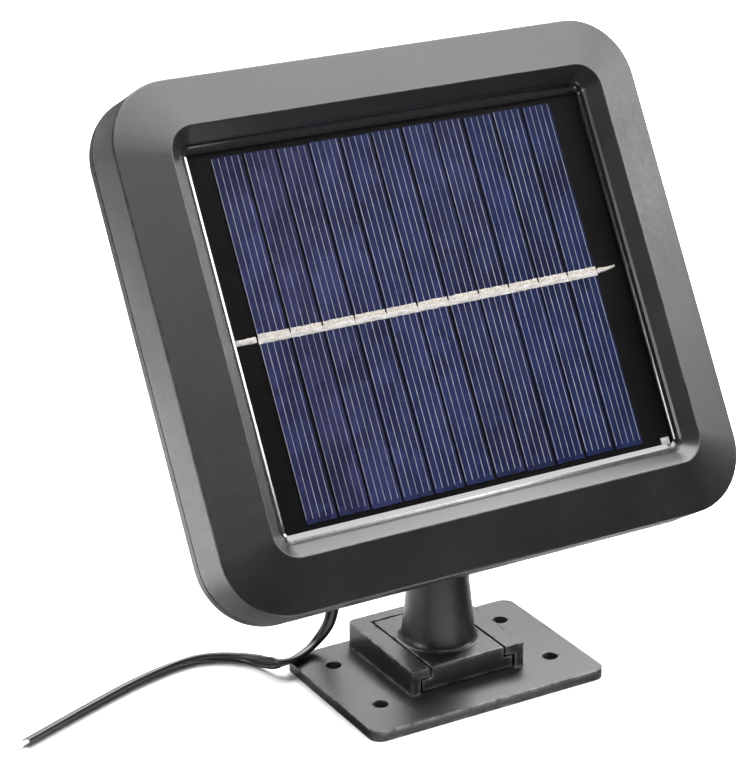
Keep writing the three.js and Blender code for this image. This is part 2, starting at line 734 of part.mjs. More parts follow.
function hingeNutPiece() {
  const left = earOuter + hingeWasher.thickness + 2 * GAP;
  const hole = rodX(hingeBolt.radius + RUNNING_GAP, left - PAST, left + hingeBolt.nutHeight + PAST);
  const hexagon = rodX(hingeBolt.headRadius, left, left + hingeBolt.nutHeight, 6);
  return named('hinge_nut', combine([hexagon], [hole]), materials.steel);
}

function hingeWasherPiece(name, side) {
  const near = side * (earOuter + GAP);
  const far = near + side * hingeWasher.thickness;
  const [left, right] = [Math.min(near, far), Math.max(near, far)];
  const hole = rodX(hingeBolt.radius + RUNNING_GAP, left - PAST, right + PAST);
  return named(name, combine([rodX(hingeWasher.radius, left, right)], [hole]), materials.steel);
}

// ---------------------------------------------------------------- assembly

const panelStack = new THREE.Group();
panelStack.position.set(0, hingeToCentre.up, hingeToCentre.out);
panelStack.add(frontBezel(), rearCover(), caseGasket(), sealBead());
panelStack.add(backingBoard(), clearResin(), cornerPadPiece());
panelStack.add(endRibbon('lead_ribbon_left', -1), endRibbon('lead_ribbon_right', 1));
for (let i = 0; i < CELL_COUNT; i += 1) panelStack.add(cellStrip(i), cellTab(i));
caseScrewPlaces.forEach(([x, y], i) => panelStack.add(caseScrewPiece(i, x, y)));
panelStack.add(blockingDiode(), cableGrommet());
panelStack.add(internalWire('wire_red', 1, materials.red), internalWire('wire_black', -1, materials.black));

const panel = new THREE.Group();
panel.position.set(0, neck.y, hinge.z);
panel.rotation.x = tilt;
panel.add(panelStack, hingeBoltPiece(), hingeNutPiece());
panel.add(hingeWasherPiece('hinge_washer_1', -1), hingeWasherPiece('hinge_washer_2', 1));

const model = new THREE.Group();
model.add(basePlate(), neckPost(), swivelHead(), swivelWasherPiece(), swivelScrewPiece(), panel, leadCable());
coreEnds(core.radius).forEach((geometry, i) => {
  model.add(named(`core_end_${i + 1}`, geometry, materials.tin));
});

export default model;
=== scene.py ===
"""Looks for the solar panel unit: a tilting panel housing on a slide-in stand, with its twin lead.

Lengths in this script are millimetres until MM turns them into Blender's metres.
"""
import math
import random

import bmesh
import bpy
from mathutils import Matrix, Vector, noise


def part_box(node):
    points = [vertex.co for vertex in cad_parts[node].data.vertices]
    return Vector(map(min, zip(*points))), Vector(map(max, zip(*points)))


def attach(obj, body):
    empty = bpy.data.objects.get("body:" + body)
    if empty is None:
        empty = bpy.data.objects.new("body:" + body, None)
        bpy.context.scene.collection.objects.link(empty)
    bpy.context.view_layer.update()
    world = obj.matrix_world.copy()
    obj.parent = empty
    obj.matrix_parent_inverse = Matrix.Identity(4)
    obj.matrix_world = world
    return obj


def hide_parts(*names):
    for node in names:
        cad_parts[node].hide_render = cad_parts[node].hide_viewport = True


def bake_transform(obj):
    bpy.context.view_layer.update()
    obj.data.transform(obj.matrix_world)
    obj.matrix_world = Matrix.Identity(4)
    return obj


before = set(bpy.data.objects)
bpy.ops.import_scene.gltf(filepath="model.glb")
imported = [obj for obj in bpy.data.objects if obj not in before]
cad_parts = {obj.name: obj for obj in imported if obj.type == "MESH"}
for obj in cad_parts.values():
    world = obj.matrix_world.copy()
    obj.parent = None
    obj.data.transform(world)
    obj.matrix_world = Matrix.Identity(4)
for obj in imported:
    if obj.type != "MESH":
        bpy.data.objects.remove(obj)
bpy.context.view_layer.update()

MM = 0.001
random.seed(11)

# ------------------------------ places and sizes

REST_LEAN = math.radians(30.5)  # how far the panel leans back from upright
PANEL_X = Vector((1, 0, 0))
PANEL_UP = Vector((0, math.sin(REST_LEAN), math.cos(REST_LEAN)))
PANEL_OUT = Vector((0, -math.cos(REST_LEAN), math.sin(REST_LEAN)))


def box_mm(node):
    """The lowest and highest corners of a CAD node."""
    low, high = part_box(node)
    return low / MM, high / MM


def centre_mm(node):
    low, high = box_mm(node)
    return (low + high) / 2


CELL_FACE = 0.25  # from the middle of a cell's thickness to the plane that panel heights count from
PANEL_ORIGIN = centre_mm("solar_cell_06") + PANEL_OUT * CELL_FACE


def basis(x, y, z, origin):
    """A 4x4 that puts its own X, Y, Z and origin at these."""
    matrix = Matrix((x, y, z)).transposed().to_4x4()
    matrix.translation = origin
    return matrix


PANEL = basis(PANEL_X, PANEL_UP, PANEL_OUT, PANEL_ORIGIN)
TO_PANEL = PANEL.inverted()
WORLD = Matrix.Identity(4)


def panel_box(node):
    """A CAD node's lowest and highest corners in the panel's own axes."""
    places = [TO_PANEL @ (v.co / MM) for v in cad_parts[node].data.vertices]
    low = Vector([min(p[i] for p in places) for i in range(3)])
    high = Vector([max(p[i] for p in places) for i in range(3)])
    return low, high


# Every outline of the housing is a rounded rectangle about the same four corner centres. Radii count
# from those centres, and heights (_Z) count outwards from the cells' faces.
BEZEL_LOW, BEZEL_HIGH = panel_box("front_bezel")
OUTER_RADIUS = 21.4
CORNER_TIGHTENING = 3.0  # how much smaller the outermost corners are than concentric ones
SEAM_FLARE = 0.45  # how far the side walls have spread outwards by the seam, and by the back
REAR_FLARE = 0.7
CORNER_X = BEZEL_HIGH.x - OUTER_RADIUS
CORNER_Y = BEZEL_HIGH.y - OUTER_RADIUS
LIP_Z = BEZEL_HIGH.z
SEAM_Z = BEZEL_LOW.z
CREASE_Z = 3.2
LIP_RADIUS = 7.3
FOOT_RADIUS = 3.3
FOOT_TOP_Z = 2.9
SEAT_Z = 0.95
WALL = 2.2
SEAM_GAP = 0.3
REAR_Z = -13.9
REAR_FLOOR_Z = REAR_Z + WALL

GROMMET_X = -22
GROMMET_Y = -42
GROMMET_HOLE_RADIUS = 4.2
POST_RADIUS = 4.2
POST_TOP_Z = -9.6
COUNTERBORE_RADIUS = 3.2
SCREW_HOLE_RADIUS = 1.7

CELL_COUNT = 11
CELL_GAP = 0.42
FINGERS_PER_CELL = 5
FINGER_WIDTH = 0.18
FINGER_HEIGHT = 0.03

PLATE_LOW, PLATE_HIGH = box_mm("base_plate")
POST_LOW, POST_HIGH = box_mm("neck_post")
PLATE_THICKNESS = 3
PLATE_CORNER = 3.6
HOLE_RADIUS = 2.2
HOLE_SPACING_X = 55.5
HOLE_SPACING_Y = 26.3
HOLE_OFFSET_Y = 1.6
SOCKET_HALF_WIDTH = 18.2
SOCKET_FRONT = -12.4
SOCKET_BACK = 24.4
SOCKET_TOP = PLATE_HIGH.z
SOCKET_CORNER = 2.4
SLOT_HALF_WIDTH = 15.4
SLOT_TOP = 7.5
SLIDE_BACK = 20.6
CHANNEL_HALF_WIDTH = 12.4
FOOT_HALF_WIDTH = 11.8
TONGUE_HALF_WIDTH = 14.7
TONGUE_TOP = 6.9

NECK_Y = 3.9
NECK_TOP = POST_HIGH.z
NECK_TOP_RADIUS = 7.7
NECK_BOTTOM_RADIUS = 10.25
FLARE_RADIUS = 11.5
FLARE_HEIGHT = 2.9
BORE_BOTTOM_RADIUS = 8.1
BORE_TOP_RADIUS = 5.7
BORE_WEB_Z = 31
SPIGOT_HOLE_RADIUS = 4.1

HINGE = Vector((0, NECK_Y, 50))
EYE_HALF_WIDTH = 4.2
EAR_RADIUS = 6.5
EAR_GAP = 0.3
EAR_THICKNESS = 4
BOLT_HOLE_RADIUS = 2.5

# ------------------------------ mesh helpers


def make_object(name, vertices, faces, place=WORLD):
    """A mesh object from millimetre vertices, put in place and turned into metres."""
    mesh = bpy.data.meshes.new(name)
    mesh.from_pydata([tuple(v) for v in vertices], [], faces)
    mesh.transform(Matrix.Scale(MM, 4) @ place)
    obj = bpy.data.objects.new(name, mesh)
    bpy.context.scene.collection.objects.link(obj)
    return obj


def corner_points(radius, segments):
    """The four corners' arcs of a rounded rectangle, as unit offsets scaled by radius."""
    points = []
    for quarter, (side_x, side_y) in enumerate(((1, 1), (-1, 1), (-1, -1), (1, -1))):
        for i in range(segments + 1):
            angle = (quarter + i / segments) * math.pi / 2
            points.append((side_x, side_y, radius * math.cos(angle), radius * math.sin(angle)))
    return points


def rounded_rectangle(half_width, half_height, radius, segments=12):
    x, y = half_width - radius, half_height - radius
    return [(sx * x + dx, sy * y + dy) for sx, sy, dx, dy in corner_points(radius, segments)]


def circle(radius, segments=48, x=0.0, y=0.0):
    angles = [2 * math.pi * i / segments for i in range(segments)]
    return [(x + radius * math.cos(a), y + radius * math.sin(a)) for a in angles]


def rounded_section(points, steps=4):
    """Rounds the corners of a closed outline. Each point is (a, b, radius)."""
    result = []
    count = len(points)
    for i, (a, b, radius) in enumerate(points):
        here = Vector((a, b))
        if radius <= 0:
            result.append(here)
            continue
        before = Vector(points[i - 1][:2]) - here
        after = Vector(points[(i + 1) % count][:2]) - here
        half = before.angle(after) / 2
        reach = radius / math.tan(half)
        start = here + before.normalized() * reach
        end = here + after.normalized() * reach
        middle = here + (before.normalized() + after.normalized()).normalized() * (radius / math.sin(half))
        first, last = start - middle, end - middle
        sweep = first.angle_signed(last)
        for step in range(steps + 1):
            turn = -sweep * step / steps
            result.append(middle + Matrix.Rotation(turn, 2) @ first)
    return result


def swept_frame(name, section, segments=24, right_width=1.0):
    """Carries a closed (radius, height) section round the housing's rounded rectangle.

    Right_width squeezes a section that lies inside the window's foot, on the right side only.
    """
    path = corner_points(1, segments)
    vertices = []
    for side_x, side_y, dx, dy in path:
        squeeze = 1 - (1 - right_width) * max(0, dx) ** 2
        for radius, height in section:
            radius = FOOT_RADIUS - (FOOT_RADIUS - radius) * squeeze
            shift = CORNER_TIGHTENING * max(0, (radius - LIP_RADIUS) / (OUTER_RADIUS - LIP_RADIUS))
            x = side_x * (CORNER_X + shift) + (radius - shift) * dx
            y = side_y * (CORNER_Y + shift) + (radius - shift) * dy
            vertices.append((x, y, height))
    size, count = len(section), len(path)
    faces = []
    for i in range(count):
        j = (i + 1) % count
        for k in range(size):
            m = (k + 1) % size
            faces.append((i * size + k, j * size + k, j * size + m, i * size + m))
    return make_object(name, vertices, faces, PANEL)


def tube_faces(first, second, size):
    """The quads between two rings of vertices, given where each ring starts."""
    following = [(k + 1) % size for k in range(size)]
    return [(first + k, first + m, second + m, second + k) for k, m in enumerate(following)]


def prism(name, outline, bottom, top, place=WORLD):
    """An outline of (x, y) points given height along Z."""
    count = len(outline)
    vertices = [(x, y, bottom) for x, y in outline] + [(x, y, top) for x, y in outline]
    ends = [tuple(reversed(range(count))), tuple(range(count, 2 * count))]
    return make_object(name, vertices, ends + tube_faces(0, count, count), place)


def block(name, low, high, place=WORLD):
    outline = [(low[0], low[1]), (high[0], low[1]), (high[0], high[1]), (low[0], high[1])]
    return prism(name, outline, low[2], high[2], place)


def lathe(name, profile, segments=64, place=WORLD):
    """Turns a closed profile of (radius, z) points round Z. Points on the axis become one vertex."""
    vertices, rings = [], []
    for radius, z in profile:
        if abs(radius) < 1e-6:
            rings.append([len(vertices)])
            vertices.append((0, 0, z))
            continue
        rings.append(list(range(len(vertices), len(vertices) + segments)))
        for x, y in circle(radius, segments):
            vertices.append((x, y, z))
    faces = []
    for k, ring in enumerate(rings):
        following = rings[(k + 1) % len(rings)]
        if len(ring) == 1 and len(following) == 1:
            continue
        for i in range(segments):
            j = (i + 1) % segments
            if len(ring) == 1:
                faces.append((ring[0], following[j], following[i]))
            elif len(following) == 1:
                faces.append((ring[i], ring[j], following[0]))
            else:
                faces.append((ring[i], ring[j], following[j], following[i]))
    return make_object(name, vertices, faces, place)


def apply_modifiers(obj):
    """Turns what the modifiers make into the object's own mesh."""
    depsgraph = bpy.context.evaluated_depsgraph_get()
    mesh = bpy.data.meshes.new_from_object(obj.evaluated_get(depsgraph))
    obj.modifiers.clear()
    obj.data = mesh


def combine(obj, tool, operation):
    """Joins the tool to the object or cuts it out, then removes the tool."""
    modifier = obj.modifiers.new("combine", "BOOLEAN")
    modifier.object = tool
    modifier.operation = operation
    modifier.solver = "EXACT"
    apply_modifiers(obj)
    bpy.data.objects.remove(tool)


def join(obj, *tools):
    for tool in tools:
        combine(obj, tool, "UNION")


def cut(obj, *tools):
    for tool in tools:
        combine(obj, tool, "DIFFERENCE")


def round_edges(obj, width, segments=3, angle=40):
    """Rounds the edges that are sharper than the angle."""
    modifier = obj.modifiers.new("rounding", "BEVEL")
    modifier.width = width * MM
    modifier.segments = segments
    modifier.limit_method = "ANGLE"
    modifier.angle_limit = math.radians(angle)
    modifier.harden_normals = True
    modifier.miter_outer = "MITER_ARC"


def merge_flat_faces(obj):
    """Joins the flat slivers that cutting leaves, which would show as streaks."""
    mesh = bmesh.new()
    mesh.from_mesh(obj.data)
    bmesh.ops.dissolve_limit(mesh, angle_limit=math.radians(0.5), verts=mesh.verts, edges=mesh.edges)
    mesh.to_mesh(obj.data)
    mesh.free()


def smooth(obj, angle=38):
    """Smooth shading that keeps big faces flat and edges sharper than the angle hard."""
    obj.data.shade_smooth()
    obj.data.set_sharp_from_angle(angle=math.radians(angle))
    modifier = obj.modifiers.new("normals", "WEIGHTED_NORMAL")
    modifier.mode = "FACE_AREA"
    modifier.weight = 100
    modifier.keep_sharp = True


def keep_flat(obj, direction):
    """Shades the faces that look straight along the direction, or straight back, as truly flat."""
    for polygon in obj.data.polygons:
        if abs(polygon.normal.dot(direction)) > 0.9999:
            polygon.use_smooth = False


def finish_piece(obj, body, material, slot, *nodes):
    """Gives a piece its look, the body it rides on and the CAD nodes that it stands for."""
    obj.data.materials.clear()
    obj.data.materials.append(material)
    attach(obj, body)
    if nodes:
        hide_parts(*nodes)


# ------------------------------ material helpers


class Nodes:
    """Adds nodes to one node tree and links them by socket name."""

    def __init__(self, tree):
        self.tree = tree

    def add(self, kind, settings=None, **inputs):
        node = self.tree.nodes.new(kind)
        for key, value in (settings or {}).items():
            setattr(node, key, value)
        for key, value in inputs.items():
            self.put(node, key.replace("_", " "), value)
        return node

    def put(self, node, key, value):
        socket = node.inputs[int(key)] if key.isdigit() else node.inputs[key]
        if isinstance(value, bpy.types.NodeSocket):
            self.tree.links.new(value, socket)
        else:
            socket.default_value = value

    def range(self, value, low, high, start=0.0, end=1.0):
        """Stretches low to high over start to end, and stays level beyond them."""
        node = self.add("ShaderNodeMapRange")
        limits = {"Value": value, "From Min": low, "From Max": high, "To Min": start, "To Max": end}
        for key, item in limits.items():
            self.put(node, key, item)
        return node.outputs["Result"]

    def spread(self, noise_value, start=0.0, end=1.0):
        """Stretches the part of a noise that holds most of its values over start to end."""
        return self.range(noise_value, 0.3, 0.7, start, end)

    def math(self, operation, a, b):
        node = self.add("ShaderNodeMath", {"operation": operation})
        self.put(node, "0", a)
        self.put(node, "1", b)
        return node.outputs["Value"]

    def mix(self, factor, a, b):
        node = self.add("ShaderNodeMix", {"data_type": "RGBA"})
        self.put(node, "0", factor)
        for index, colour in ((6, a), (7, b)):
            self.put(node, str(index), colour if isinstance(colour, bpy.types.NodeSocket) else (*colour, 1))
        return node.outputs[2]


class Shader(Nodes):
    """One material, with the texture helpers that its pieces share."""

    def __init__(self, name):
        self.material = bpy.data.materials.new(name)
        self.material.use_nodes = True
        super().__init__(self.material.node_tree)
        self.surface = self.tree.nodes["Principled BSDF"]
        self.output = self.tree.nodes["Material Output"]
        self.place = self.add("ShaderNodeTexCoord").outputs["Object"]

    def noise(self, size, detail=3.0, roughness=0.55, place=None):
        """Noise whose features are about this many millimetres across, from 0 to 1."""
        node = self.add("ShaderNodeTexNoise", Scale=1 / (size * MM), Detail=detail, Roughness=roughness)
        self.put(node, "Vector", place or self.place)
        return node.outputs["Fac"]

    def stretched(self, x, y, z):
        """Object coordinates scaled along each axis, for streaks."""
        node = self.add("ShaderNodeMapping")
        self.put(node, "Vector", self.place)
        self.put(node, "Scale", (x, y, z))
        return node.outputs["Vector"]

    def bump(self, height, strength, distance):
        """Height is 0 to 1, and distance is in millimetres."""
        node = self.add("ShaderNodeBump", Strength=strength, Distance=distance * MM, Height=height)
        return node.outputs["Normal"]

    def edge(self, radius):
        """1 near edges, within this many millimetres, and 0 on flat faces."""
        bevel = self.add("ShaderNodeBevel", {"samples": 4}, Radius=radius * MM)
        geometry = self.add("ShaderNodeNewGeometry")
        node = self.add("ShaderNodeVectorMath", {"operation": "DOT_PRODUCT"})
        self.put(node, "0", bevel.outputs["Normal"])
        self.put(node, "1", geometry.outputs["Normal"])
        flat, bent = 1.0, 0.95
        return self.range(node.outputs["Value"], flat, bent)

    def set(self, **inputs):
        """Sets or links the surface's inputs. An underscore stands for a space."""
        for key, value in inputs.items():
            self.put(self.surface, key.replace("_", " "), value)


def shade(colour, factor, lift=0.0):
    """The colour made lighter or darker, and lifted towards grey."""
    return tuple(c * factor + lift for c in colour)


def moulded_plastic(name, colour, roughness, grain_depth, wear_and_highlight, fleck_gain=1.7, edge_width=0.7):
    """Satin moulded ABS: spark-eroded grain, cloudy sheen, and edges rubbed smooth and pale, the paleness
    part scuffs and part painted highlight.
    """
    s = Shader(name)
    cloud = s.noise(28, detail=4)
    fleck = s.noise(1.6, detail=2)
    grain = s.noise(0.55, detail=2, roughness=0.6)
    wave = s.noise(45, detail=1)
    base = s.mix(s.spread(cloud), shade(colour, 0.88), shade(colour, 1.14))
    flecks = s.math("MULTIPLY", s.range(fleck, 0.6, 0.78), 0.4)
    base = s.mix(flecks, base, shade(colour, fleck_gain))
    rough = s.spread(cloud, roughness * 0.92, roughness * 1.08)
    rough = s.math("ADD", rough, s.spread(fleck, -0.03, 0.03))
    edge = s.edge(edge_width)
    # Pale edges: partly scuffs, partly a painted highlight standing for light caught along the rounded edges.
    scuffs_and_edge_highlight = s.math("MULTIPLY", edge, s.range(s.noise(3.5, detail=5), 0.35, 0.6, 0.0, wear_and_highlight))
    base = s.mix(scuffs_and_edge_highlight, base, shade(colour, 3, 0.13))
    rough = s.math("SUBTRACT", rough, s.math("MULTIPLY", edge, roughness * 0.45))
    height = s.math("ADD", grain, s.math("MULTIPLY", wave, 3.0))
    s.set(Base_Color=base, Roughness=rough, Normal=s.bump(height, 0.5, grain_depth))
    return s.material


def polished_plastic(name, colour, roughness):
    """The window wall, moulded smooth and filmed with resin: soft clouds and a faint long waviness."""
    s = Shader(name)
    cloud = s.noise(16, detail=3)
    wave = s.noise(30, detail=1)
    base = s.mix(s.spread(cloud), shade(colour, 0.8), shade(colour, 1.3))
    rough = s.spread(cloud, roughness * 0.92, roughness * 1.08)
    s.set(Base_Color=base, IOR=1.7, Roughness=rough, Normal=s.bump(wave, 0.1, 0.02))
    return s.material


def soft_rubber(name, colour, roughness):
    """Matt rubber, PVC or epoxy: a dusty colour and fine bumps."""
    s = Shader(name)
    dust = s.noise(9, detail=5)
    fine = s.noise(0.5, detail=2)
    base = s.mix(s.range(dust, 0.4, 0.75), colour, shade(colour, 1.6, 0.004))
    rough = s.spread(dust, roughness - 0.05, roughness + 0.08)
    s.set(Base_Color=base, Roughness=rough, Normal=s.bump(fine, 0.35, 0.02))
    return s.material


def plated_steel(name, colour, roughness):
    """Zinc-plated steel: bright metal with fine turning marks and tarnish clouds."""
    s = Shader(name)
    cloud = s.noise(4, detail=5)
    fine = s.noise(0.25, detail=3, place=s.stretched(1, 1, 6))
    base = s.mix(s.range(cloud, 0.45, 0.75), colour, shade(colour, 0.72))
    rough = s.spread(cloud, roughness - 0.06, roughness + 0.12)
    s.set(Base_Color=base, Metallic=1.0, Roughness=rough, Normal=s.bump(fine, 0.3, 0.01))
    return s.material


def tinned_copper(name):
    """Hand-soldered tin: white and rough, with a strip along the tabs' upper half painted darker and browner
    as painted shade.
    """
    s = Shader(name)
    streak = s.noise(0.7, detail=4, place=s.stretched(0.35, 1.6, 1.6))
    patch = s.noise(1.3, detail=4)
    fine = s.noise(0.35, detail=3)
    upwards = s.add("ShaderNodeVectorMath", {"operation": "DOT_PRODUCT"})
    s.put(upwards, "0", s.place)
    s.put(upwards, "1", PANEL_UP)
    tab_middle = (PANEL_ORIGIN + PANEL_UP * 0.45).dot(PANEL_UP) * MM
    stray, blur = 0.25 * MM, 0.08 * MM
    strip_top, strip_end = 1.3 * MM, 2 * MM
    height = s.math("ADD", upwards.outputs["Value"], s.spread(patch, -stray, stray))
    # Painted shade: the tabs' upper half is painted darker and browner than the white lower half.
    upper = s.range(height, tab_middle - blur, tab_middle + blur)
    upper = s.math("MULTIPLY", upper, s.range(height, tab_middle + strip_end, tab_middle + strip_top))
    white = s.mix(s.range(streak, 0.42, 0.62), (1.0, 1.0, 0.98), (0.66, 0.64, 0.60))
    painted_shade_tone = s.mix(s.range(fine, 0.4, 0.6), (0.50, 0.45, 0.37), (1.0, 0.97, 0.91))
    base = s.mix(upper, white, painted_shade_tone)
    rough = s.spread(streak, 0.34, 0.62)
    s.set(Base_Color=base, Roughness=rough, Normal=s.bump(streak, 0.7, 0.08))
    return s.material


UNDER_RESIN = 0.06  # surfaces that touch the resin hardly reflect on their own


def silicon(index):
    """Polycrystalline silicon: grains and fine sparkle in violet-navy, a little different per cell."""
    s = Shader(f"silicon_{index + 1:02d}")
    blueness = index / (CELL_COUNT - 1) + random.uniform(-0.25, 0.25)
    level = 1.25 - 0.05 * index
    base_dark = shade((0.012 - 0.003 * blueness, 0.014, 0.047 + 0.012 * blueness), level)
    base_light = shade((0.045 - 0.012 * blueness, 0.052, 0.155 + 0.035 * blueness), level)
    grain_size = 3.2 * MM
    crystal = s.add("ShaderNodeTexVoronoi", {"feature": "F1"}, Scale=1 / grain_size, Randomness=1.0)
    s.put(crystal, "Vector", s.stretched(1.0, 0.6, 0.6))
    grain_value = s.add("ShaderNodeSeparateColor", Color=crystal.outputs["Color"]).outputs["Red"]
    sparkle = s.noise(0.45, detail=2, roughness=0.7)
    cloud = s.noise(18, detail=3)
    factor = s.math("ADD", s.math("MULTIPLY", grain_value, 0.32), s.math("MULTIPLY", sparkle, 0.75))
    factor = s.math("ADD", factor, s.spread(cloud, -0.28, 0.2))
    base = s.mix(s.range(factor, 0.2, 0.95), base_dark, base_light)
    s.set(Base_Color=base, Roughness=0.42, Normal=s.bump(grain_value, 0.15, 0.02))
    s.put(s.surface, "Specular IOR Level", UNDER_RESIN)
    return s.material


def silver_paste():
    """The printed fingers: dull silver that is fainter in places."""
    s = Shader("silver_fingers")
    fade = s.noise(6, detail=3)
    fine = s.noise(0.3, detail=2)
    base = s.mix(s.range(fade, 0.35, 0.65), (0.46, 0.50, 0.62), (0.66, 0.69, 0.78))
    s.set(Base_Color=base, Roughness=0.5, Normal=s.bump(fine, 0.3, 0.01))
    s.put(s.surface, "Specular IOR Level", UNDER_RESIN)
    return s.material


def solder_mask():
    """The backing board's black lacquer over a faint weave."""
    s = Shader("board_black")
    weave = s.noise(1.2, detail=3)
    cloud = s.noise(20, detail=3)
    base = s.mix(s.spread(cloud), (0.003, 0.003, 0.0035), (0.006, 0.006, 0.0065))
    s.set(Base_Color=base, Roughness=s.spread(weave, 0.34, 0.5), Normal=s.bump(weave, 0.2, 0.02))
    s.put(s.surface, "Specular IOR Level", UNDER_RESIN)
    return s.material


def clear_resin_material():
    """A clear cast layer: what lies under it shows through, and its gently uneven face reflects by angle.

    Only the outer face reflects, because nothing bends the rays that leave through the inner one.
    """
    s = Shader("clear_resin")
    ripple = s.noise(30, detail=2)
    dust = s.noise(0.8, detail=4)
    normal = s.bump(ripple, 0.35, 0.25)
    # The see-through part is tinted grey: painted shade for the light that the resin's faces would reflect
    # away.
    clear = s.add("ShaderNodeBsdfTransparent", Color=(0.835, 0.83, 0.83, 1))
    gloss = s.add("ShaderNodeBsdfGlossy", Roughness=s.range(dust, 0.4, 0.8, 0.07, 0.16))
    s.put(gloss, "Normal", normal)
    fresnel = s.add("ShaderNodeFresnel", IOR=1.48)
    s.put(fresnel, "Normal", normal)
    facing = s.range(s.add("ShaderNodeNewGeometry").outputs["Backfacing"], 1.0, 0.0)
    blend = s.add("ShaderNodeMixShader")
    s.put(blend, "0", s.math("MULTIPLY", fresnel.outputs["Fac"], facing))
    s.put(blend, "1", clear.outputs["BSDF"])
    s.put(blend, "2", gloss.outputs["BSDF"])
    s.tree.links.new(blend.outputs["Shader"], s.output.inputs["Surface"])
    s.tree.nodes.remove(s.surface)
    return s.material


def glossy_bead():
    """The rim of cured resin over black plastic: almost black, smooth and strongly glossy."""
    s = Shader("sealing_bead")
    ripple = s.noise(6, detail=3)
    dust = s.noise(0.8, detail=3)
    base = s.mix(s.range(dust, 0.5, 0.8), (0.012, 0.012, 0.012), (0.03, 0.03, 0.03))
    s.set(Base_Color=base, IOR=1.8, Roughness=s.spread(ripple, 0.07, 0.16))
    s.put(s.surface, "Normal", s.bump(ripple, 0.1, 0.08))
    return s.material


HOUSING = moulded_plastic("housing_abs", (0.008, 0.008, 0.0083), 0.42, grain_depth=0.06, wear_and_highlight=0.35)
WINDOW_WALL = polished_plastic("window_wall_abs", (0.008, 0.008, 0.0083), 0.33)
STAND = moulded_plastic(
    "stand_abs", (0.010, 0.010, 0.0104), 0.38, grain_depth=0.04, wear_and_highlight=0.9, fleck_gain=4, edge_width=1.8
)
RUBBER = soft_rubber("boot_rubber", (0.016, 0.016, 0.017), 0.62)
JACKET = soft_rubber("lead_jacket", (0.014, 0.014, 0.015), 0.36)
STEEL = plated_steel("plated_steel", (0.62, 0.62, 0.63), 0.30)
TIN = tinned_copper("tinned_copper")
SILVER = silver_paste()
BOARD = solder_mask()
RESIN = clear_resin_material()
BEAD = glossy_bead()
EPOXY = soft_rubber("diode_epoxy", (0.012, 0.012, 0.013), 0.30)
WIRE_RED = soft_rubber("wire_red_pvc", (0.42, 0.02, 0.015), 0.40)
WIRE_BLACK = soft_rubber("wire_black_pvc", (0.012, 0.012, 0.013), 0.40)

# ------------------------------ panel housing


def build_front_bezel():
    """The sloping front frame with its side wall and the polished wall round its window."""
    slope = (LIP_Z - CREASE_Z) / (OUTER_RADIUS - LIP_RADIUS)
    face_depth = 2.1  # the sloping face's thickness along Z
    lip_width = 2
    inner_crease_z = CREASE_Z + WALL * slope - face_depth
    inner_lip_z = inner_crease_z + (OUTER_RADIUS - WALL - LIP_RADIUS - lip_width) * slope
    under_lip = FOOT_RADIUS + lip_width
    section = rounded_section([
        (OUTER_RADIUS + SEAM_FLARE, SEAM_Z, 0.2),
        (OUTER_RADIUS, CREASE_Z, 0.75),
        (LIP_RADIUS, LIP_Z, 0.5),
        (FOOT_RADIUS + 0.5, FOOT_TOP_Z + 0.72, 0.4),
        (FOOT_RADIUS, FOOT_TOP_Z, 0.15),
        (FOOT_RADIUS, SEAT_Z, 0),
        (under_lip, SEAT_Z, 0),
        (under_lip, FOOT_TOP_Z, 0),
        (LIP_RADIUS + lip_width, inner_lip_z, 0),
        (OUTER_RADIUS - WALL, inner_crease_z, 0.4),
        (OUTER_RADIUS - WALL, SEAM_Z, 0),
    ])
    obj = swept_frame("bezel_shell", section)
    smooth(obj, 30)
    finish_piece(obj, "panel", HOUSING, "housing", "front_bezel")
    obj.data.materials.append(WINDOW_WALL)
    for face in obj.data.polygons:
        radius, height = section[face.index % len(section)]
        inside_lip = radius < LIP_RADIUS - 0.2
        above_foot = height > FOOT_TOP_Z + 0.05
        if inside_lip and above_foot:
            face.material_index = 1


def ear_outline():
    """The hinge ear in the panel's (out, up) axes, from the rear cover round the hinge pin."""
    pin = TO_PANEL @ HINGE
    root = REAR_Z + 0.6
    root_half_height = EAR_RADIUS + 2.2
    straight_end = pin.z + 3
    steps = 24
    points = [(root, pin.y + root_half_height), (root, pin.y - root_half_height)]
    points.append((straight_end, pin.y - EAR_RADIUS))
    for i in range(steps + 1):
        angle = math.radians(-90 - 180 * i / steps)
        points.append((pin.z + EAR_RADIUS * math.cos(angle), pin.y + EAR_RADIUS * math.sin(angle)))
    points.append((straight_end, pin.y + EAR_RADIUS))
    return points


def across_panel(left):
    """Places an outline drawn in (out, up) so that its thickness runs along +X from left."""
    origin = PANEL_ORIGIN + PANEL_X * left
    return basis(PANEL_OUT, PANEL_UP, PANEL_X, origin)


def round_hole(radius, x, y, bottom, top):
    """A cutting cylinder, or a post, that stands along the panel's own Z."""
    return prism("hole", circle(radius, 40, x, y), bottom, top, PANEL)


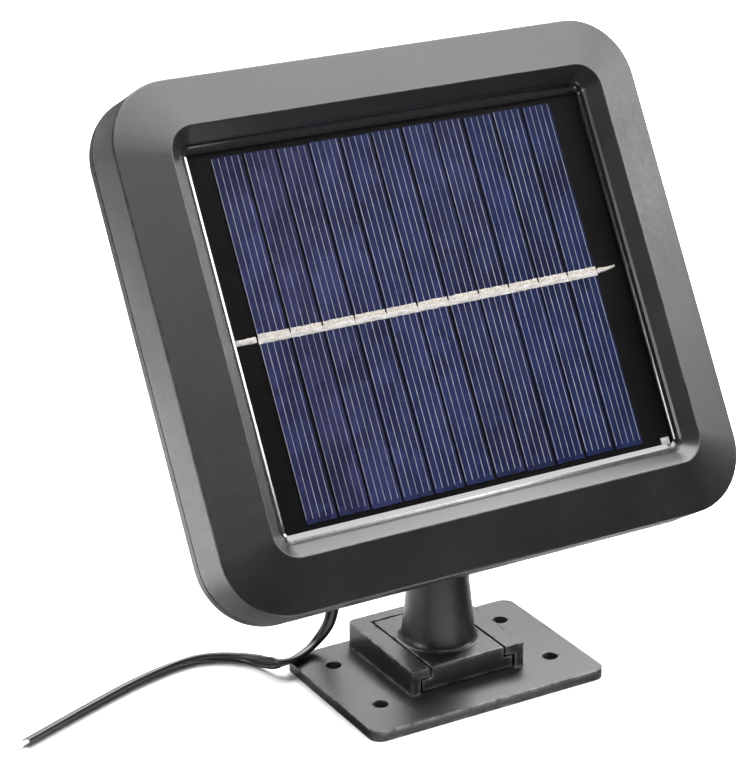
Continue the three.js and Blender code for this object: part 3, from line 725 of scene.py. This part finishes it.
def build_rear_cover():
    """The flat-backed rear shell with its hinge ears, screw posts and holes."""
    top = SEAM_Z - SEAM_GAP
    rim_inside = 1.0
    overlap = 0.5  # how much wider the flat back is than the opening that it fills
    section = rounded_section([
        (OUTER_RADIUS + REAR_FLARE, REAR_Z, 1.0),
        (OUTER_RADIUS + SEAM_FLARE, top, 0.2),
        (OUTER_RADIUS - WALL, top, 0.2),
        (OUTER_RADIUS - WALL, REAR_FLOOR_Z, 0.5),
        (rim_inside, REAR_FLOOR_Z, 0),
        (rim_inside, REAR_Z, 0),
    ])
    obj = swept_frame("rear_shell", section)
    corner = rim_inside + overlap
    back_outline = rounded_rectangle(CORNER_X + corner, CORNER_Y + corner, corner, 8)
    back = prism("back_panel", back_outline, REAR_Z, REAR_FLOOR_Z, PANEL)
    join(obj, back)
    for side in (-1, 1):
        near = EYE_HALF_WIDTH + EAR_GAP
        left = near if side > 0 else -near - EAR_THICKNESS
        ear = prism("ear", ear_outline(), 0, EAR_THICKNESS, across_panel(left))
        round_edges(ear, 0.5)
        apply_modifiers(ear)
        join(obj, ear)
    pin = TO_PANEL @ HINGE
    reach = EYE_HALF_WIDTH + EAR_GAP + EAR_THICKNESS + 1
    pin_outline = circle(BOLT_HOLE_RADIUS, 40, pin.z, pin.y)
    cut(obj, prism("pin_hole", pin_outline, 0, 2 * reach, across_panel(-reach)))
    cut(obj, round_hole(GROMMET_HOLE_RADIUS, GROMMET_X, GROMMET_Y, REAR_Z - 1, REAR_FLOOR_Z + 1))
    for number in range(1, 7):
        low, high = panel_box(f"case_screw_{number}")
        x, y = (low.x + high.x) / 2, (low.y + high.y) / 2
        join(obj, round_hole(POST_RADIUS, x, y, REAR_FLOOR_Z - 0.5, POST_TOP_Z))
        cut(obj, round_hole(COUNTERBORE_RADIUS, x, y, REAR_Z - 1, REAR_FLOOR_Z))
        cut(obj, round_hole(SCREW_HOLE_RADIUS, x, y, REAR_Z - 1, POST_TOP_Z + 1))
    merge_flat_faces(obj)
    smooth(obj, 30)
    keep_flat(obj, PANEL_OUT)
    finish_piece(obj, "panel", HOUSING, "housing", "rear_cover")


# ------------------------------ window: board, cells, tabs, resin, bead


def build_cell(index):
    """One silicon strip with slightly chipped, wandering edges.

    Returns its silver fingers as (x, bottom, top, width), and the height that they stand on.
    """
    name = f"solar_cell_{index + 1:02d}"
    low, high = panel_box(name)
    pieces = 14
    chip = 0.14
    other_edge = 50  # sets the left edge's wandering apart from every right edge's
    shift = random.uniform(-0.35, 0.35)
    bottom, top = low.y + max(0, shift), high.y + min(0, shift)
    left, right = low.x + random.uniform(0.02, 0.1), high.x - random.uniform(0.12, 0.42)
    outline = []
    for i in range(pieces):
        outline.append((left + (right - left) * i / pieces, bottom + random.uniform(0, chip)))
    for i in range(pieces):
        y = bottom + (top - bottom) * i / pieces
        outline.append((right + edge_wander(index, y), y))
    for i in range(pieces):
        outline.append((right - (right - left) * i / pieces, top - random.uniform(0, chip)))
    for i in range(pieces):
        y = top - (top - bottom) * i / pieces
        outline.append((left + edge_wander(index + other_edge, y) / 2, y))
    obj = prism(f"cell_{index + 1:02d}", outline, low.z, high.z, PANEL)
    finish_piece(obj, "panel", silicon(index), "cell", name)
    pitch = (high.x - low.x + CELL_GAP) / FINGERS_PER_CELL
    phase = random.uniform(0.06, 0.3) if index else 0.08
    width = FINGER_WIDTH * random.uniform(0.75, 1.1)
    finger_bottom, finger_top = bottom + 1.3, top - 0.25
    xs = [low.x + (k + phase) * pitch for k in range(FINGERS_PER_CELL)]
    return [(x, finger_bottom, finger_top, width) for x in xs], high.z


def edge_wander(seed, y):
    """How far a strip's long edge strays sideways at this height."""
    return 0.2 * noise.noise(Vector((seed * 3.7, y * 0.05, 0.5)))


def build_fingers(lines, base):
    """Every printed finger, as thin raised strips whose width wavers a little along their length."""
    vertices, faces = [], []
    pieces = 30
    crest = base + FINGER_HEIGHT
    crest_share = 0.6  # the crest's width over the foot's
    for x, bottom, top, width in lines:
        start = len(vertices)
        for i in range(pieces + 1):
            y = bottom + (top - bottom) * i / pieces
            half = width / 2 * random.uniform(0.8, 1.2)
            drift = random.uniform(-0.012, 0.012)
            top_half = half * crest_share
            for dx, z in ((-half, base), (-top_half, crest), (top_half, crest), (half, base)):
                vertices.append((x + dx + drift, y, z))
        last = start + pieces * 4
        for ring in range(start, last, 4):
            faces += tube_faces(ring, ring + 4, 4)
        faces.append((start + 3, start + 2, start + 1, start))
        faces.append((last, last + 1, last + 2, last + 3))
    obj = make_object("cell_fingers", vertices, faces, PANEL)
    smooth(obj, 30)
    finish_piece(obj, "panel", SILVER, "tin")


def lumpy_strip(name, low, high, columns, rows, height, seed, bridge=0.0):
    """A soldered strip: a closed sheet whose top and outline are uneven.

    Bridge is how much further each end of its lower half reaches.
    """
    vertices, faces = [], []
    origin = Vector((seed * 7.3, seed * 3.1, 0))
    for j in range(rows + 1):
        for i in range(columns + 1):
            u, v = i / columns, j / rows
            x = low[0] + (high[0] - low[0]) * u
            y = low[1] + (high[1] - low[1]) * v
            across, along = 2 * v - 1, 2 * u - 1  # both run from -1 to 1
            wobble = noise.noise(origin + Vector((x * 0.9, y * 2.2, 1.5)))
            y += wobble * 0.16 * across ** 2
            if not bridge:
                x += noise.noise(origin + Vector((x, y * 1.7, 9.5))) * 0.12 * along ** 6
            x += bridge * along ** 7 * min(1, max(-0.6, 5 - 8 * v))
            rim = min(1, 5 * min(u, 1 - u)) * min(1, 4.5 * min(v, 1 - v))
            lump = noise.noise(origin + Vector((x * 0.8, y * 3.0, 4.5))) * 0.5 + 0.5
            vertices.append((x, y, low[2] + 0.02 + height * (0.25 + rim * (0.35 + 0.4 * lump))))
    top = len(vertices)
    for j in range(rows + 1):
        for i in range(columns + 1):
            x, y, _ = vertices[j * (columns + 1) + i]
            vertices.append((x, y, low[2]))
    for j in range(rows):
        for i in range(columns):
            a = j * (columns + 1) + i
            b, c, d = a + 1, a + columns + 2, a + columns + 1
            faces.append((a, b, c, d))
            faces.append((a + top, d + top, c + top, b + top))
    rim_loop = list(range(columns + 1))
    rim_loop += [j * (columns + 1) + columns for j in range(1, rows + 1)]
    rim_loop += [rows * (columns + 1) + i for i in range(columns - 1, -1, -1)]
    rim_loop += [j * (columns + 1) for j in range(rows - 1, 0, -1)]
    for k, a in enumerate(rim_loop):
        b = rim_loop[(k + 1) % len(rim_loop)]
        faces.append((a, a + top, b + top, b))
    return make_object(name, vertices, faces, PANEL)


def build_tab(index):
    """The tinned tab across one cell. Its solder sinks a little into the cell."""
    name = f"tab_{index + 1:02d}"
    low, high = panel_box(name)
    low.z -= 0.06
    obj = lumpy_strip(f"solder_{name}", low, high, 40, 12, 0.26, index + 1, bridge=0.13)
    smooth(obj, 60)
    finish_piece(obj, "panel", TIN, "tin", name)


def build_ribbon(name, seed, taper=0.0):
    """A solder ribbon. Its far end can be thinner, and then curls up."""
    low, high = panel_box(name)
    start = Vector((low.x, low.y + 0.2, low.z - 0.3))
    end = Vector((high.x, high.y - 0.2, high.z))
    obj = lumpy_strip(f"{name}_strip", start, end, 24, 8, 0.45, seed)
    if taper:
        place = Matrix.Scale(MM, 4) @ PANEL
        for vertex in obj.data.vertices:
            point = place.inverted() @ vertex.co
            along = (point.x - low.x) / (high.x - low.x)
            middle = (low.y + high.y) / 2
            point.y = middle + (point.y - middle) * (1 - taper * along) + 0.5 * along ** 3
            vertex.co = place @ point
    smooth(obj, 60)
    finish_piece(obj, "panel", TIN, "tin", name)


def build_corner_pad():
    """The small tinned pad on the board, a little higher and narrower than the CAD's."""
    low, high = panel_box("corner_pad")
    low += Vector((-0.1, 0.9, 0))
    high += Vector((-0.8, 1.2, 0))
    obj = lumpy_strip("corner_pad_tin", low, high, 12, 8, 0.25, 31)
    smooth(obj, 60)
    finish_piece(obj, "panel", TIN, "tin", "corner_pad")


def build_bead():
    """The resin's rim: it clings to the window wall and runs out flat. It is narrow on the right."""
    outer = FOOT_RADIUS - 0.04
    section = rounded_section([
        (outer, SEAT_Z, 0),
        (outer, FOOT_TOP_Z, 0),
        (outer - 0.06, FOOT_TOP_Z, 0.02),
        (outer - 0.42, FOOT_TOP_Z - 0.75, 0.4),
        (outer - 1.0, FOOT_TOP_Z - 1.36, 0.7),
        (outer - 1.7, FOOT_TOP_Z - 1.71, 0.8),
        (outer - 2.38, SEAT_Z + 0.01, 0),
        (outer - 2.4, SEAT_Z, 0),
    ], steps=5)
    obj = swept_frame("bead_cord", section, segments=16, right_width=0.35)
    smooth(obj, 60)
    finish_piece(obj, "panel", BEAD, "bead", "seal_bead")


def build_slab(name, node, material, slot, rounding):
    """A cast or cut sheet with rounded corners that takes its size from the CAD node."""
    low, high = panel_box(node)
    outline = rounded_rectangle(high.x, high.y, 3, 8)
    obj = prism(name, outline, low.z, high.z, PANEL)
    round_edges(obj, rounding, 2)
    apply_modifiers(obj)
    smooth(obj)
    finish_piece(obj, "panel", material, slot, node)


# ------------------------------ base plate and stand


def build_base_plate():
    """The screw-down plate with its four holes and the U-shaped socket on it, open at the front."""
    plate_outline = rounded_rectangle(PLATE_HIGH.x, PLATE_HIGH.y, PLATE_CORNER)
    obj = prism("base_plate_body", plate_outline, 0, PLATE_THICKNESS)
    depth = SOCKET_BACK - SOCKET_FRONT
    corners = rounded_rectangle(SOCKET_HALF_WIDTH, depth / 2, SOCKET_CORNER)
    middle = SOCKET_FRONT + depth / 2
    outline = [(x, y + middle) for x, y in corners if y > 0]
    outline += [(-SOCKET_HALF_WIDTH, SOCKET_FRONT), (SOCKET_HALF_WIDTH, SOCKET_FRONT)]
    socket = prism("socket", outline, PLATE_THICKNESS - 1, SOCKET_TOP)
    join(obj, socket)
    front = SOCKET_FRONT - 2
    slot_high = (SLOT_HALF_WIDTH, SLIDE_BACK, SLOT_TOP)
    cut(obj, block("slot", (-SLOT_HALF_WIDTH, front, PLATE_THICKNESS), slot_high))
    channel_high = (CHANNEL_HALF_WIDTH, SLIDE_BACK, SOCKET_TOP + 1)
    cut(obj, block("channel", (-CHANNEL_HALF_WIDTH, front, PLATE_THICKNESS), channel_high))
    for side_x in (-1, 1):
        for side_y in (-1, 1):
            x = side_x * HOLE_SPACING_X / 2
            y = HOLE_OFFSET_Y + side_y * HOLE_SPACING_Y / 2
            cut(obj, prism("hole", circle(HOLE_RADIUS, 48, x, y), -1, PLATE_THICKNESS + 1))
    round_edges(obj, 0.45, 3)
    apply_modifiers(obj)
    smooth(obj)
    finish_piece(obj, "base", STAND, "stand", "base_plate")


def neck_profile():
    """The neck's outside from its tight flare on the foot up to its rounded top edge."""
    profile = []
    flare_steps, edge_steps = 8, 4
    for i in range(flare_steps + 1):
        t = i / flare_steps * math.pi / 2
        radius = FLARE_RADIUS - (FLARE_RADIUS - NECK_BOTTOM_RADIUS) * math.sin(t)
        profile.append((radius, SOCKET_TOP + FLARE_HEIGHT * (1 - math.cos(t))))
    edge = 0.5
    profile.append((NECK_TOP_RADIUS + 0.05, NECK_TOP - edge))
    for i in range(1, edge_steps + 1):
        t = i / edge_steps * math.pi / 2
        profile.append((NECK_TOP_RADIUS - edge * (1 - math.cos(t)), NECK_TOP - edge * (1 - math.sin(t))))
    return profile


def build_stand():
    """The T-shaped slide foot and the hollow neck with its swivel hole, as one moulding."""
    front, back = POST_LOW.y, POST_HIGH.y
    bottom = POST_LOW.z
    tee = [
        (-TONGUE_HALF_WIDTH, bottom), (TONGUE_HALF_WIDTH, bottom), (TONGUE_HALF_WIDTH, TONGUE_TOP),
        (FOOT_HALF_WIDTH, TONGUE_TOP), (FOOT_HALF_WIDTH, SOCKET_TOP), (-FOOT_HALF_WIDTH, SOCKET_TOP),
        (-FOOT_HALF_WIDTH, TONGUE_TOP), (-TONGUE_HALF_WIDTH, TONGUE_TOP),
    ]
    along_y = basis(Vector((-1, 0, 0)), Vector((0, 0, 1)), Vector((0, 1, 0)), Vector((0, 0, 0)))
    obj = prism("stand_body", tee, front, back, along_y)
    round_edges(obj, 0.3, 3)
    apply_modifiers(obj)
    at_neck = Matrix.Translation((0, NECK_Y, 0))
    sunk = SOCKET_TOP - 0.6  # the neck starts a little inside the foot
    outside = [(0, sunk), (FLARE_RADIUS, sunk), *neck_profile(), (0, NECK_TOP)]
    join(obj, lathe("neck", outside, 96, at_neck))
    bore = [
        (0, bottom - 1), (BORE_BOTTOM_RADIUS, bottom - 1), (BORE_BOTTOM_RADIUS, SOCKET_TOP),
        (BORE_TOP_RADIUS, BORE_WEB_Z), (0, BORE_WEB_Z),
    ]
    spigot = [
        (0, BORE_WEB_Z - 1), (SPIGOT_HOLE_RADIUS, BORE_WEB_Z - 1),
        (SPIGOT_HOLE_RADIUS, NECK_TOP + 1), (0, NECK_TOP + 1),
    ]
    cut(obj, lathe("bore", bore, 48, at_neck), lathe("spigot_hole", spigot, 48, at_neck))
    smooth(obj, 32)
    finish_piece(obj, "stand", STAND, "stand", "neck_post")


# ------------------------------ lead


CURVE_SPANS = (((0, 1), (1, 2), (2, 3)), ((0, 2), (1, 3)), ((1, 2),))


def catmull_rom(points, step):
    """Evenly stepped points along a centripetal curve through the given points."""
    padded = [2 * points[0] - points[1], *points, 2 * points[-1] - points[-2]]
    result = []
    for i in range(1, len(padded) - 2):
        near = padded[i - 1:i + 3]
        knots = [0.0]
        for a, b in zip(near, near[1:]):
            knots.append(knots[-1] + math.sqrt((b - a).length))
        count = max(2, round((near[2] - near[1]).length / step))
        for k in range(count):
            t = knots[1] + (knots[2] - knots[1]) * k / count
            level = near
            for spans in CURVE_SPANS:
                shares = [(t - knots[m]) / (knots[n] - knots[m]) for m, n in spans]
                level = [level[m].lerp(level[m + 1], share) for m, share in enumerate(shares)]
            result.append(level[0])
    result.append(points[-1])
    return result


LEAD_RADIUS = 0.9  # of each of the two insulations
LEAD_SPREAD = 0.95  # from the lead's middle to each insulation's
LEAD_HANGING = Vector((0.87, -0.5, 0))  # the way the lead's width points where it hangs
LEAD_LYING = Vector((0.34, -0.79, 0.51))  # and where it lies on the ground, half on edge
BOOT = 8.5  # how far the grommet's boot reaches behind the rear cover
CORE_RADIUS = 0.55
CORE_LENGTH = 3
LEAD_INSIDE_Z = REAR_FLOOR_Z + 3.5


def panel_point(x, y, z):
    """A place given in the panel's own axes."""
    return PANEL @ Vector((x, y, z))


def lead_path():
    """Where the lead's middle runs: out of the panel, down past the stand and along the ground."""
    ground = LEAD_RADIUS + LEAD_SPREAD * LEAD_LYING.z + 0.3
    fall = [
        (-21.9, 14.5, 51), (-22, 20, 36), (-23, 22.3, 20), (-24.6, 23.4, 11.3), (-28.4, 24.3, 6),
        (-33.2, 22.4, 4.75), (-37.9, 20.8, 4.5), (-40.8, 22.4, 3.7), (-42.8, 26.2, 2.6),
    ]
    flat = [
        (-44.6, 30.6), (-47.4, 34.6), (-51.8, 38), (-57.1, 40.2), (-63.5, 40.4), (-77.4, 37.1), (-92.1, 31.6),
        (-118.8, 20.4),
    ]
    heights = [LEAD_INSIDE_Z, REAR_Z, REAR_Z - BOOT - 0.5, REAR_Z - BOOT - 3.5]
    points = [panel_point(GROMMET_X, GROMMET_Y, z) for z in heights]
    points += [Vector(p) for p in fall]
    points += [Vector((x, y, ground + (0.3 if i == 0 else 0))) for i, (x, y) in enumerate(flat)]
    return points


def eased(value):
    """0 to 1 with a soft start and end."""
    value = min(1, max(0, value))
    return value * value * (3 - 2 * value)


def lead_section():
    """The twin lead's outline: two round insulations joined by a thin web."""
    waist = 0.42
    steps = 14
    start = math.asin(waist / LEAD_RADIUS)
    outline = []
    for side in (1, -1):
        for i in range(steps + 1):
            sweep = (math.pi - start) * (2 * i / steps - 1)
            angle = sweep if side > 0 else math.pi + sweep
            x = side * LEAD_SPREAD + LEAD_RADIUS * math.cos(angle)
            outline.append((x, LEAD_RADIUS * math.sin(angle)))
    return outline


def build_lead():
    """The twin lead, which turns from upright to half on edge as it comes down to the ground."""
    path = catmull_rom(lead_path(), 0.8)
    section = lead_section()
    vertices, faces = [], []
    straight = LEAD_INSIDE_Z - REAR_Z + BOOT + 1
    for i, point in enumerate(path):
        tangent = (path[min(i + 1, len(path) - 1)] - path[max(i - 1, 0)]).normalized()
        hanging = PANEL_UP.lerp(LEAD_HANGING, eased(((point - path[0]).length - straight) / 18))
        lying = eased((30 - point.z) / 24) if point.y > 18 else 0
        wide = hanging.lerp(LEAD_LYING, lying)
        wide = (wide - tangent * wide.dot(tangent)).normalized()
        thin = tangent.cross(wide)
        vertices += [point + wide * a + thin * b for a, b in section]
    size = len(section)
    last = len(vertices) - size
    for ring in range(0, last, size):
        faces += tube_faces(ring, ring + size, size)
    faces.append(tuple(reversed(range(size))))
    faces.append(tuple(range(last, last + size)))
    obj = make_object("twin_lead", vertices, faces)
    obj.data.flip_normals()
    smooth(obj, 50)
    obj.data.materials.append(JACKET)
    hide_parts("lead_cable")
    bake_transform(obj)
    for number, side in ((1, 1), (2, -1)):
        build_core_end(number, path[-1] + wide * side * LEAD_SPREAD, tangent, wide)


def build_core_end(number, place, along, wide):
    """A bare tinned core that stands out of the lead's cut end."""
    across = along.cross(wide)
    inside, edge = -1, 0.2
    profile = [
        (0, inside), (CORE_RADIUS, inside), (CORE_RADIUS, CORE_LENGTH - edge),
        (CORE_RADIUS - edge, CORE_LENGTH), (0, CORE_LENGTH),
    ]
    obj = lathe(f"bare_core_{number}", profile, 20, basis(wide, across, along, place))
    smooth(obj, 40)
    finish_piece(obj, "head", TIN, "tin", f"core_end_{number}")


# ------------------------------ build everything

build_front_bezel()
build_rear_cover()
build_slab("back_board", "pv_backboard", BOARD, "board", 0.2)
build_slab("resin_sheet", "clear_resin", RESIN, "resin", 0.1)
build_bead()
finger_lines = []
for strip in range(CELL_COUNT):
    lines, finger_base = build_cell(strip)
    finger_lines += lines
    build_tab(strip)
build_fingers(finger_lines, finger_base)
build_ribbon("lead_ribbon_left", 21)
build_ribbon("lead_ribbon_right", 22, taper=0.6)
build_corner_pad()
build_base_plate()
build_stand()
build_lead()


def dress_cad_node(name, material, rounding=0.0):
    """A CAD node whose shape is right keeps its mesh, and gets a material and rounded edges."""
    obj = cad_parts[name]
    for i in range(len(obj.data.materials)):
        obj.data.materials[i] = material
    if rounding:
        round_edges(obj, rounding, 2)


for part in ("hinge_bolt", "hinge_nut", "hinge_washer_1", "hinge_washer_2", "swivel_washer", "swivel_screw"):
    dress_cad_node(part, STEEL, 0.25)
for number in range(1, 7):
    dress_cad_node(f"case_screw_{number}", STEEL, 0.15)
dress_cad_node("swivel_head", STAND, 0.4)
dress_cad_node("case_gasket", RUBBER, 0.2)
dress_cad_node("cable_grommet", RUBBER, 0.3)
dress_cad_node("blocking_diode", EPOXY, 0.15)
dress_cad_node("wire_red", WIRE_RED)
dress_cad_node("wire_black", WIRE_BLACK)

# ------------------------------ floor, lights and camera


def build_floor():
    """White paper. Away from the stand it shines a little for the camera, so its far edge does not show.

    What the pieces see of it is painted dark in front and to the right, as painted shade standing in for a
    studio's black cards, and painted pale behind the stand and just in front of it, as painted light; behind
    and to the left it also glows for them.
    """
    size = 6000
    thickness, below_plate = 2, 0.02
    corners = [(-size, -size), (size, -size), (size, size), (-size, size)]
    obj = prism("floor", corners, -thickness, -below_plate)
    s = Shader("floor_paper")
    is_camera = s.add("ShaderNodeLightPath").outputs["Is Camera Ray"]
    speck = s.noise(3, detail=3)
    seen = s.mix(speck, (0.93, 0.93, 0.93), (0.95, 0.95, 0.95))
    where = s.add("ShaderNodeSeparateXYZ", Vector=s.place)
    x, y = where.outputs["X"], where.outputs["Y"]
    # Painted light and shade for what the pieces see: pale behind the stand and in a patch just in front of
    # it, dark in front, far left and to the right.
    back = s.range(y, -0.01, 0.05)
    left = s.range(x, -0.2, -0.25, 1.0, 0.03)
    right = s.range(x, 0.09, 0.2, 1.0, 0.1)
    stand_across = s.math("MULTIPLY", s.range(x, -0.1, -0.06), s.range(x, 0.05, 0.01))
    stand_along = s.math("MULTIPLY", s.range(y, -0.13, -0.1), s.range(y, -0.02, -0.03))
    by_stand = s.math("MULTIPLY", stand_across, stand_along)
    pale = s.math("MAXIMUM", s.math("MULTIPLY", back, s.math("MULTIPLY", left, right)), by_stand)
    unseen = s.mix(pale, (0.04, 0.04, 0.04), (0.85, 0.85, 0.85))
    s.set(Base_Color=s.mix(is_camera, unseen, seen), Roughness=0.9, Normal=s.bump(speck, 0.05, 0.05))
    s.put(s.surface, "Specular IOR Level", 0.1)
    distance = s.add("ShaderNodeVectorMath", {"operation": "LENGTH"})
    s.put(distance, "0", s.place)
    s.put(s.surface, "Emission Color", (1, 1, 1, 1))
    # Painted light: for what the pieces see, the floor behind and to the left glows, though it is no lamp.
    glow = s.math("MULTIPLY", s.math("MULTIPLY", back, left), s.range(x, -0.1, -0.13, 0.0, 1.7))
    far = s.range(distance.outputs["Value"], 0.25, 0.7)
    shine = s.add("ShaderNodeMix", **{"0": is_camera, "2": glow, "3": far}).outputs[0]
    s.put(s.surface, "Emission Strength", shine)
    obj.data.materials.append(s.material)


def softbox(name, place, width, height, radiance, aim=(0, 0.01, 0.08)):
    """A rectangular studio light of this radiance at a place in metres, facing the aim point."""
    light = bpy.data.lights.new(name, "AREA")
    light.shape = "RECTANGLE"
    light.size = width
    light.size_y = height
    light.energy = radiance * math.pi * width * height
    obj = bpy.data.objects.new(name, light)
    away = (Vector(place) - Vector(aim)).normalized()
    across = Vector((1, 0, 0)) if abs(away.z) > 0.9 else Vector((0, 0, 1)).cross(away).normalized()
    upwards = away.cross(across).normalized()
    obj.matrix_world = basis(upwards.cross(away), upwards, away, Vector(place))
    obj.visible_camera = False
    bpy.context.scene.collection.objects.link(obj)


def build_lights():
    softbox("top_softbox", (0.35, 0.3, 1.35), 2.0, 2.75, 6.5, aim=(0.35, 0.3, 0))
    softbox("top_front_softbox", (-0.05, -1.0, 1.3), 0.8, 0.5, 1.0)
    softbox("top_back_softbox", (0.63, 0.72, 1.02), 0.5, 0.5, 15.0)
    softbox("right_softbox", (1.12, -0.45, 0.72), 0.45, 0.5, 18.0)
    softbox("left_softbox", (-1.25, -0.09, 0.16), 0.35, 0.3, 16.0)


def build_world():
    """A studio room that is dark in front and paler behind and above. The camera sees white."""
    world = bpy.data.worlds.new("studio")
    world.use_nodes = True
    bpy.context.scene.world = world
    w = Nodes(world.node_tree)
    direction = w.add("ShaderNodeTexCoord").outputs["Generated"]
    height = w.add("ShaderNodeVectorMath", {"operation": "DOT_PRODUCT"})
    w.put(height, "0", direction)
    w.put(height, "1", (0.1, 0.8, 0.6))
    unseen = w.mix(w.range(height.outputs["Value"], -0.5, 0.6), (0.05, 0.05, 0.052), (0.2, 0.2, 0.2))
    is_camera = w.add("ShaderNodeLightPath").outputs["Is Camera Ray"]
    w.put(world.node_tree.nodes["Background"], "Color", w.mix(is_camera, unseen, (1, 1, 1)))


# Angles in degrees, lengths in millimetres.
CAMERA = {"azimuth": -29.9, "elevation": 21.58, "roll": -0.3, "distance": 716.8, "right": -19.53, "up": 34.86}
CAMERA_TARGET = Vector((0, 0, 50))
FOCAL_LENGTHS_PER_HEIGHT = 3.3908  # focal length over the height of the picture


def build_camera():
    """A camera that circles the target at these angles and then shifts sideways and up."""
    azimuth = math.radians(CAMERA["azimuth"])
    elevation = math.radians(CAMERA["elevation"])
    back = Vector((
        math.sin(azimuth) * math.cos(elevation),
        -math.cos(azimuth) * math.cos(elevation),
        math.sin(elevation),
    ))
    level_right = Vector((math.cos(azimuth), math.sin(azimuth), 0))
    level_up = back.cross(level_right)
    roll = math.radians(CAMERA["roll"])
    right = level_right * math.cos(roll) + level_up * math.sin(roll)
    up = back.cross(right)
    place = CAMERA_TARGET + back * CAMERA["distance"] + right * CAMERA["right"] + up * CAMERA["up"]
    data = bpy.data.cameras.new("camera")
    data.sensor_fit = "AUTO"
    data.sensor_width = 36
    data.lens = data.sensor_width * FOCAL_LENGTHS_PER_HEIGHT
    obj = bpy.data.objects.new("camera", data)
    obj.matrix_world = basis(right, up, back, place * MM)
    bpy.context.scene.collection.objects.link(obj)
    bpy.context.scene.camera = obj


build_floor()
build_lights()
build_world()
build_camera()
bpy.context.scene.view_settings.view_transform = "Standard"
